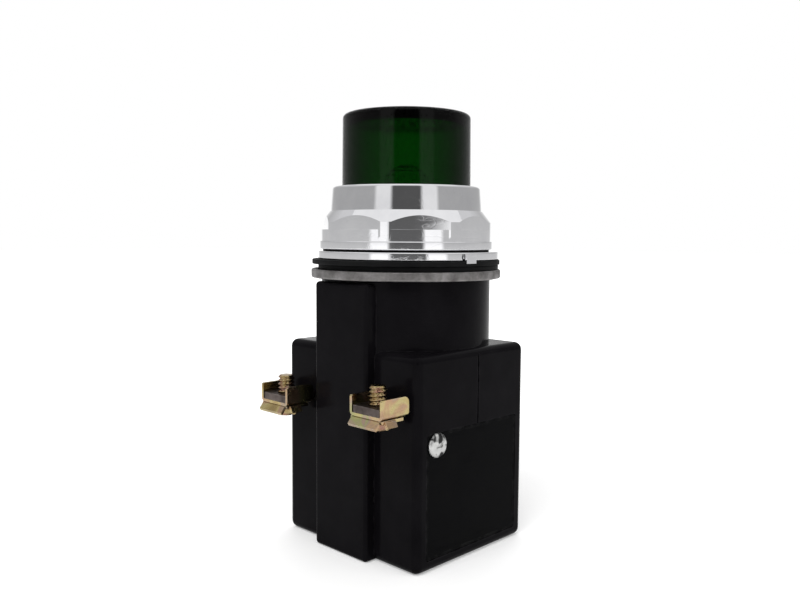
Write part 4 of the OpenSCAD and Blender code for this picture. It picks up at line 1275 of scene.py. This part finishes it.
@dataclass
class Terminal:
    """A wire terminal: steel plate, U-shaped clamp, flared clamp plate and screw.

    It is modelled for the right side, then copied.
    """

    x: float = 14.0
    top: float = 33.4
    screw_y: float = -21.6
    front: float = -24.8
    plate: float = 1.5
    half: float = 3.7
    sheet: float = 0.6
    ear: float = 4.1
    ear_length: float = 7.0
    ear_top: float = 1.8
    bend: float = 0.55
    other: Point = (-28.0, 0.0, -1.5)

    def build(self, paints: Paintbox) -> None:
        """Builds the right terminal, copies it to the left, and places both."""
        for thing, slot, stem, body in (
            (self.steel_plate(), "dark_steel", "terminal_plate", "base"),
            (self.clamp(), "yellow_zinc", "wire_clamp", "clamp"),
            (self.flared_plate(), "yellow_zinc", "clamp_plate", "clamp"),
            (self.screw(), "brassy_screw", "terminal_screw", "screw"),
        ):
            left = moved_copy(thing, stem + "_left_piece", self.other)
            thing.name = stem + "_right_piece"
            for piece, side in ((thing, "right"), (left, "left")):
                paints.dress(piece, slot)
                place(piece, body if body == "base" else f"{body}_{side}", f"{stem}_{side}")

    def steel_plate(self) -> bpy.types.Object:
        """The plate with its narrower tail through the wall."""
        h, f, z, wall = self.half, self.front, self.top - self.plate, -16.7
        corners = [(h, wall), (2.5, wall), (2.5, -12.1), (-2.5, -12.1), (-2.5, wall), (-h, wall),
                   *arc((-h + 0.4, f + 0.4), 0.4, 180, 270, 3), *arc((h - 0.4, f + 0.4), 0.4, 270, 360, 3)]
        thing = prism("plate", [(self.x + a, b, z) for a, b in corners], (0, 0, self.plate))
        carve(thing, rod("hole", (self.x, self.screw_y), 1.81, z - 1, z + 3, 48))
        soften(thing, 0.12, 2)
        return thing

    def _sheet(self, name: str, path: Sequence[Point], along: Point) -> bpy.types.Object:
        """Bent sheet metal: a path pulled sideways and given its thickness.

        Args:
            name: The object's name.
            path: The middle of the sheet, seen edge on.
            along: The width's direction and length.

        Returns:
            The sheet.
        """
        thing = outline(name, path, closed=False)
        with editing(thing):
            bpy.ops.mesh.select_mode(type="EDGE")
            bpy.ops.mesh.select_all(action="SELECT")
            bpy.ops.mesh.extrude_region_move(TRANSFORM_OT_translate={"value": Vector(along) * MM})
            outwards()
        finish_with(thing, "SOLIDIFY", thickness=self.sheet * MM, offset=0, use_even_offset=True)
        return thing

    def clamp(self) -> bpy.types.Object:
        """The U-shaped clamp with rounded bends and ears."""
        under = self.top - self.plate
        mid, r, high = under - self.sheet / 2, self.bend, self.top + self.ear_top
        left = [(-self.ear, high), *arc((-self.ear + r, mid + r), r, 180, 270, 5)]
        right = [(-a, b) for a, b in reversed(left)]
        thing = self._sheet("clamp", [(self.x + a, self.front, b) for a, b in left + right],
                            (0, self.ear_length, 0))
        f, low, n = self.front, under - self.sheet, self.front + self.ear_length
        side = [(f - 0.01, low - 0.5), (n - 0.8, low - 0.5), (n + 0.01, low + 0.8),
                *arc((n - 1.2, high - 1.2), 1.2, 0, 90, 5), *arc((f + 0.4, high - 0.4), 0.4, 90, 180, 3)]
        carve(thing, prism("ear_shape", [(self.x - 6, a, b) for a, b in side], (12, 0, 0)), "INTERSECT")
        carve(thing, rod("hole", (self.x, self.screw_y), 1.9, under - 2, under + 1, 48))
        soften(thing, 0.07, 2)
        return thing

    def flared_plate(self) -> bpy.types.Object:
        """The lower plate with its front and side flanges bent down."""
        top = self.top - self.plate - self.sheet
        t, half, front = self.sheet, 4.2, self.front + 0.1
        flat = block("clamp_plate", (self.x - half, front, top - t), (self.x + half, front + 5.6, top))
        path = [(front + 0.4, top - t / 2), (front + 0.1, top - t / 2), (front - 0.15, top - t / 2 - 0.1),
                (front - 0.95, top - t / 2 - 1.15), (front - 1.1, top - 1.55)]
        flange = self._sheet("flange", [(self.x - half + 0.5, a, b) for a, b in path], (half * 2 - 1, 0, 0))
        carve(flat, flange, "UNION")
        for s in (-1, 1):
            way = [(half - 0.5, top - t / 2), (half - 0.2, top - t / 2), (half + 0.02, top - t / 2 - 0.1),
                   (half + 0.5, top - t / 2 - 1.15)]
            side = self._sheet("side", [(self.x + s * a, front + 0.8, b) for a, b in way], (0, 2.6, 0))
            carve(flat, side, "UNION")
        carve(flat, rod("hole", (self.x, self.screw_y), 1.9, top - 2, top + 1, 48))
        soften(flat, 0.07, 2)
        return flat

    def screw(self) -> bpy.types.Object:
        """The screw, head down, with a helical thread and a slotted head."""
        head_top = self.top - self.plate - self.sheet * 2
        low, tip, r, root, pitch = head_top - 2.0, self.top + 3.7, 1.75, 1.36, 0.79
        core = turned("core", [(0, head_top - 0.5), (root, head_top - 0.5), (root, tip), (0, tip)], 48)
        tooth = [(root - 0.2, 0.02), (root, 0.06), (r + 0.02, pitch * 0.42), (r + 0.02, pitch * 0.52),
                 (root, pitch * 0.9), (root - 0.2, pitch * 0.94)]
        ridge = helix("ridge", [(a, b + head_top - 0.4) for a, b in tooth], pitch, 10, 36)
        carve(core, ridge, "UNION")
        hull = turned("hull",
                      [(0, head_top - 1), (3, head_top - 1), (3, head_top + 0.4), (r, head_top + 0.4),
                       (r, tip - 0.45), (r - 0.42, tip), (0, tip)], 48)
        carve(core, hull, "INTERSECT")
        head = turned("head",
                      [(0, low), *arc((2.7 - 0.9, low + 0.9), 0.9, -90, 0, 5), (2.7, head_top),
                       (0, head_top)], 64)
        carve(head, block("slot", (-4, -0.5, low - 1), (4, 0.5, low + 1)))
        soften(head, 0.06, 2, angle=50)
        carve(head, core, "UNION")
        head.location = Vector((self.x, self.screw_y, 0)) * MM
        settle(head)
        smooth_shade(head, 35)
        return head


# ---------------------------------------------------------------- studio


@dataclass(frozen=True)
class Viewpoint:
    """Where the camera stands and how it is turned."""

    place: Point = (121.38, -124.93, 65.05)
    heading: float = 44.57
    down: float = 4.581
    roll: float = 0.349
    lens: float = 36.256
    sensor: float = 36.0

    def build(self) -> bpy.types.Object:
        """Makes the camera and gives it to the scene."""
        yaw, fall, roll = (math.radians(a) for a in (self.heading, self.down, self.roll))
        right = Vector((math.cos(yaw), math.sin(yaw), 0))
        ahead = Vector((-math.sin(yaw) * math.cos(fall), math.cos(yaw) * math.cos(fall), -math.sin(fall)))
        up = right.cross(ahead)
        right, up = right * math.cos(roll) + up * math.sin(roll), up * math.cos(roll) - right * math.sin(roll)
        data = bpy.data.cameras.new("bench_camera")
        data.lens, data.sensor_width = self.lens, self.sensor
        data.clip_start, data.clip_end = 0.005, 20
        camera = bpy.data.objects.new("bench_camera", data)
        bpy.context.scene.collection.objects.link(camera)
        turn = Matrix((right, up, -ahead)).transposed().to_4x4()
        camera.matrix_world = Matrix.Translation(Vector(self.place) * MM) @ turn
        bpy.context.scene.camera = camera
        return camera


@dataclass(frozen=True)
class Lamp:
    """One soft square lamp aimed at the middle of the part."""

    name: str
    azimuth: float
    elevation: float
    distance: float
    size: float
    power: float
    colour: Colour = (1, 1, 1)

    def build(self) -> bpy.types.Object:
        """Makes the lamp."""
        a, e = math.radians(self.azimuth), math.radians(self.elevation)
        away = Vector((math.sin(a) * math.cos(e), -math.cos(a) * math.cos(e), math.sin(e)))
        data = bpy.data.lights.new(self.name, "AREA")
        data.size, data.energy, data.color = self.size, self.power, self.colour
        lamp = bpy.data.objects.new(self.name, data)
        lamp.location = Vector((0, 0, 0.05)) + away * self.distance
        lamp.rotation_mode = "QUATERNION"
        lamp.rotation_quaternion = (-away).to_track_quat("-Z", "Y")
        lamp.visible_glossy = False
        lamp.visible_transmission = False
        bpy.context.scene.collection.objects.link(lamp)
        return lamp


class Studio:
    """The floor, the surroundings that metal mirrors, the lamps and the world."""

    LAMPS = (
        Lamp("key_lamp", 15, 50, 1.1, 0.7, 7.5),
        Lamp("fill_lamp", 105, 30, 1.2, 0.9, 4.0),
        Lamp("back_lamp", 220, 45, 1.2, 0.9, 5.0),
    )
    AMBIENT = 0.5
    FLOOR_WIDTH = 6
    WALL_RADIUS = 0.9
    WALL_HEIGHT = 1.1
    WALL_MIDDLE = 0.45
    # Glowing grey cards on the round wall, the same on the left and the right; only reflections see them, so
    # they are painted reflections for the metal.
    # Each pair is degrees from the camera's side, and brightness.
    CARDS = ((0, 0.10), (20, 0.10), (25, 0.90), (45, 0.90), (50, 0.45), (150, 0.45), (165, 0.80))

    def build(self) -> None:
        """Makes the whole studio and sets the colour view."""
        bpy.context.scene.view_settings.view_transform = "Standard"
        self._world()
        self._floor()
        self._surroundings()
        for lamp in self.LAMPS:
            lamp.build()

    def _world(self) -> None:
        """A white world for what is seen, and a softer one for what it lights."""
        world = bpy.data.worlds.new("studio_world")
        bpy.context.scene.world = world
        world.use_nodes = True
        world.node_tree.nodes.clear()
        tree = Tree(world.node_tree)
        path = tree.put("LightPath")
        seen = tree.math("MAXIMUM", path.outputs["Is Camera Ray"],
                         tree.math("MAXIMUM", path.outputs["Is Glossy Ray"],
                                   path.outputs["Is Transmission Ray"]))
        strength = tree.spread(seen, 0.0, 1.0, self.AMBIENT, 1.0)
        shade = tree.put("Background", {"Color": (1, 1, 1, 1), "Strength": strength})
        tree.put("OutputWorld", {"Surface": shade.outputs[0]})

    def _floor(self) -> None:
        """A pale floor that keeps the part's shadow."""
        bpy.ops.mesh.primitive_plane_add(size=self.FLOOR_WIDTH, location=(0, 0, -0.00002))
        floor = bpy.context.object
        floor.name = "studio_floor"
        material = bpy.data.materials.new("floor_paper")
        material.use_nodes = True
        material.node_tree.nodes.clear()
        tree = Tree(material.node_tree)
        grain = tree.put("TexNoise", {"Vector": object_coordinates(tree), "Scale": 900.0, "Detail": 2.0})
        colour = tree.blend(grain.outputs[0], (0.80, 0.80, 0.80), (0.84, 0.84, 0.84))
        paper = tree.put("BsdfDiffuse", {"Color": colour})
        path = tree.put("LightPath")
        seen = path.outputs["Is Camera Ray"]
        reach = tree.put("VectorMath", {0: object_coordinates(tree)}, operation="LENGTH").outputs["Value"]
        glow = tree.put("Emission",
                        {"Color": (1, 1, 1, 1),
                         "Strength": tree.math("MULTIPLY", seen, tree.spread(reach, 0.07, 0.35, 0.24, 1.0))})
        both = tree.put("AddShader", {0: paper.outputs[0], 1: glow.outputs[0]})
        tree.put("OutputMaterial", {"Surface": both.outputs[0]})
        floor.data.materials.append(material)

    def _surroundings(self) -> None:
        """A round wall of glowing grey cards that only mirrors see, a painted reflection for the metal that
        lights nothing; it glows brighter at its foot and turns paler towards its top.
        """
        bpy.ops.mesh.primitive_cylinder_add(vertices=96, radius=self.WALL_RADIUS, depth=self.WALL_HEIGHT,
                                            location=(0, 0, self.WALL_MIDDLE), end_fill_type="NOTHING")
        wall = bpy.context.object
        wall.name = "studio_wall"
        bpy.ops.object.transform_apply(location=True, rotation=True, scale=True)
        for rays in ("camera", "diffuse", "transmission", "shadow", "volume_scatter"):
            setattr(wall, "visible_" + rays, False)
        material = bpy.data.materials.new("wall_card")
        material.use_nodes = True
        material.node_tree.nodes.clear()
        tree = Tree(material.node_tree)
        place = tree.put("SeparateXYZ", {0: tree.put("TexCoord").outputs["Object"]})
        turned = tree.math("ARCTAN2", place.outputs[1], place.outputs[0])
        from_camera = tree.math("ADD", tree.math("MULTIPLY", turned, 180 / math.pi),
                                90 - Viewpoint.heading + 180)
        aside = tree.math("ABSOLUTE",
                          tree.math("SUBTRACT", tree.math("FLOORED_MODULO", from_camera, 360.0), 180.0))
        ramp = tree.put("ValToRGB", {0: tree.math("DIVIDE", aside, 180.0)})
        fill_ramp(ramp, tuple((angle / 180, (grey, grey, grey)) for angle, grey in self.CARDS))
        # Painted reflection: the wall glows half as bright again at its foot, and fades towards pale grey
        # near its top.
        low = tree.spread(place.outputs[2], 0.03, 0.16, 1.5, 1.0)
        high = tree.blend(tree.spread(place.outputs[2], 0.3, 0.7, 0.0, 0.7), ramp.outputs[0],
                          (0.85, 0.85, 0.86))
        light = tree.put("Emission", {"Color": high, "Strength": low})
        tree.put("OutputMaterial", {"Surface": light.outputs[0]})
        wall.data.materials.append(material)


def main() -> None:
    """Builds the light piece by piece, then the studio around it."""
    logging.basicConfig(level=logging.INFO, format="%(name)s: %(message)s")
    paints = Paintbox()
    paints.dress_nodes()
    LOG.info("finishes: %d", len(paints.by_slot))
    for part in (Housing(), RingStack(), RetainingNut(), Lens(), Terminal()):
        part.build(paints)
    Viewpoint().build()
    Studio().build()
    LOG.info("studio and camera are set")


if __name__ == "__main__":
    main()
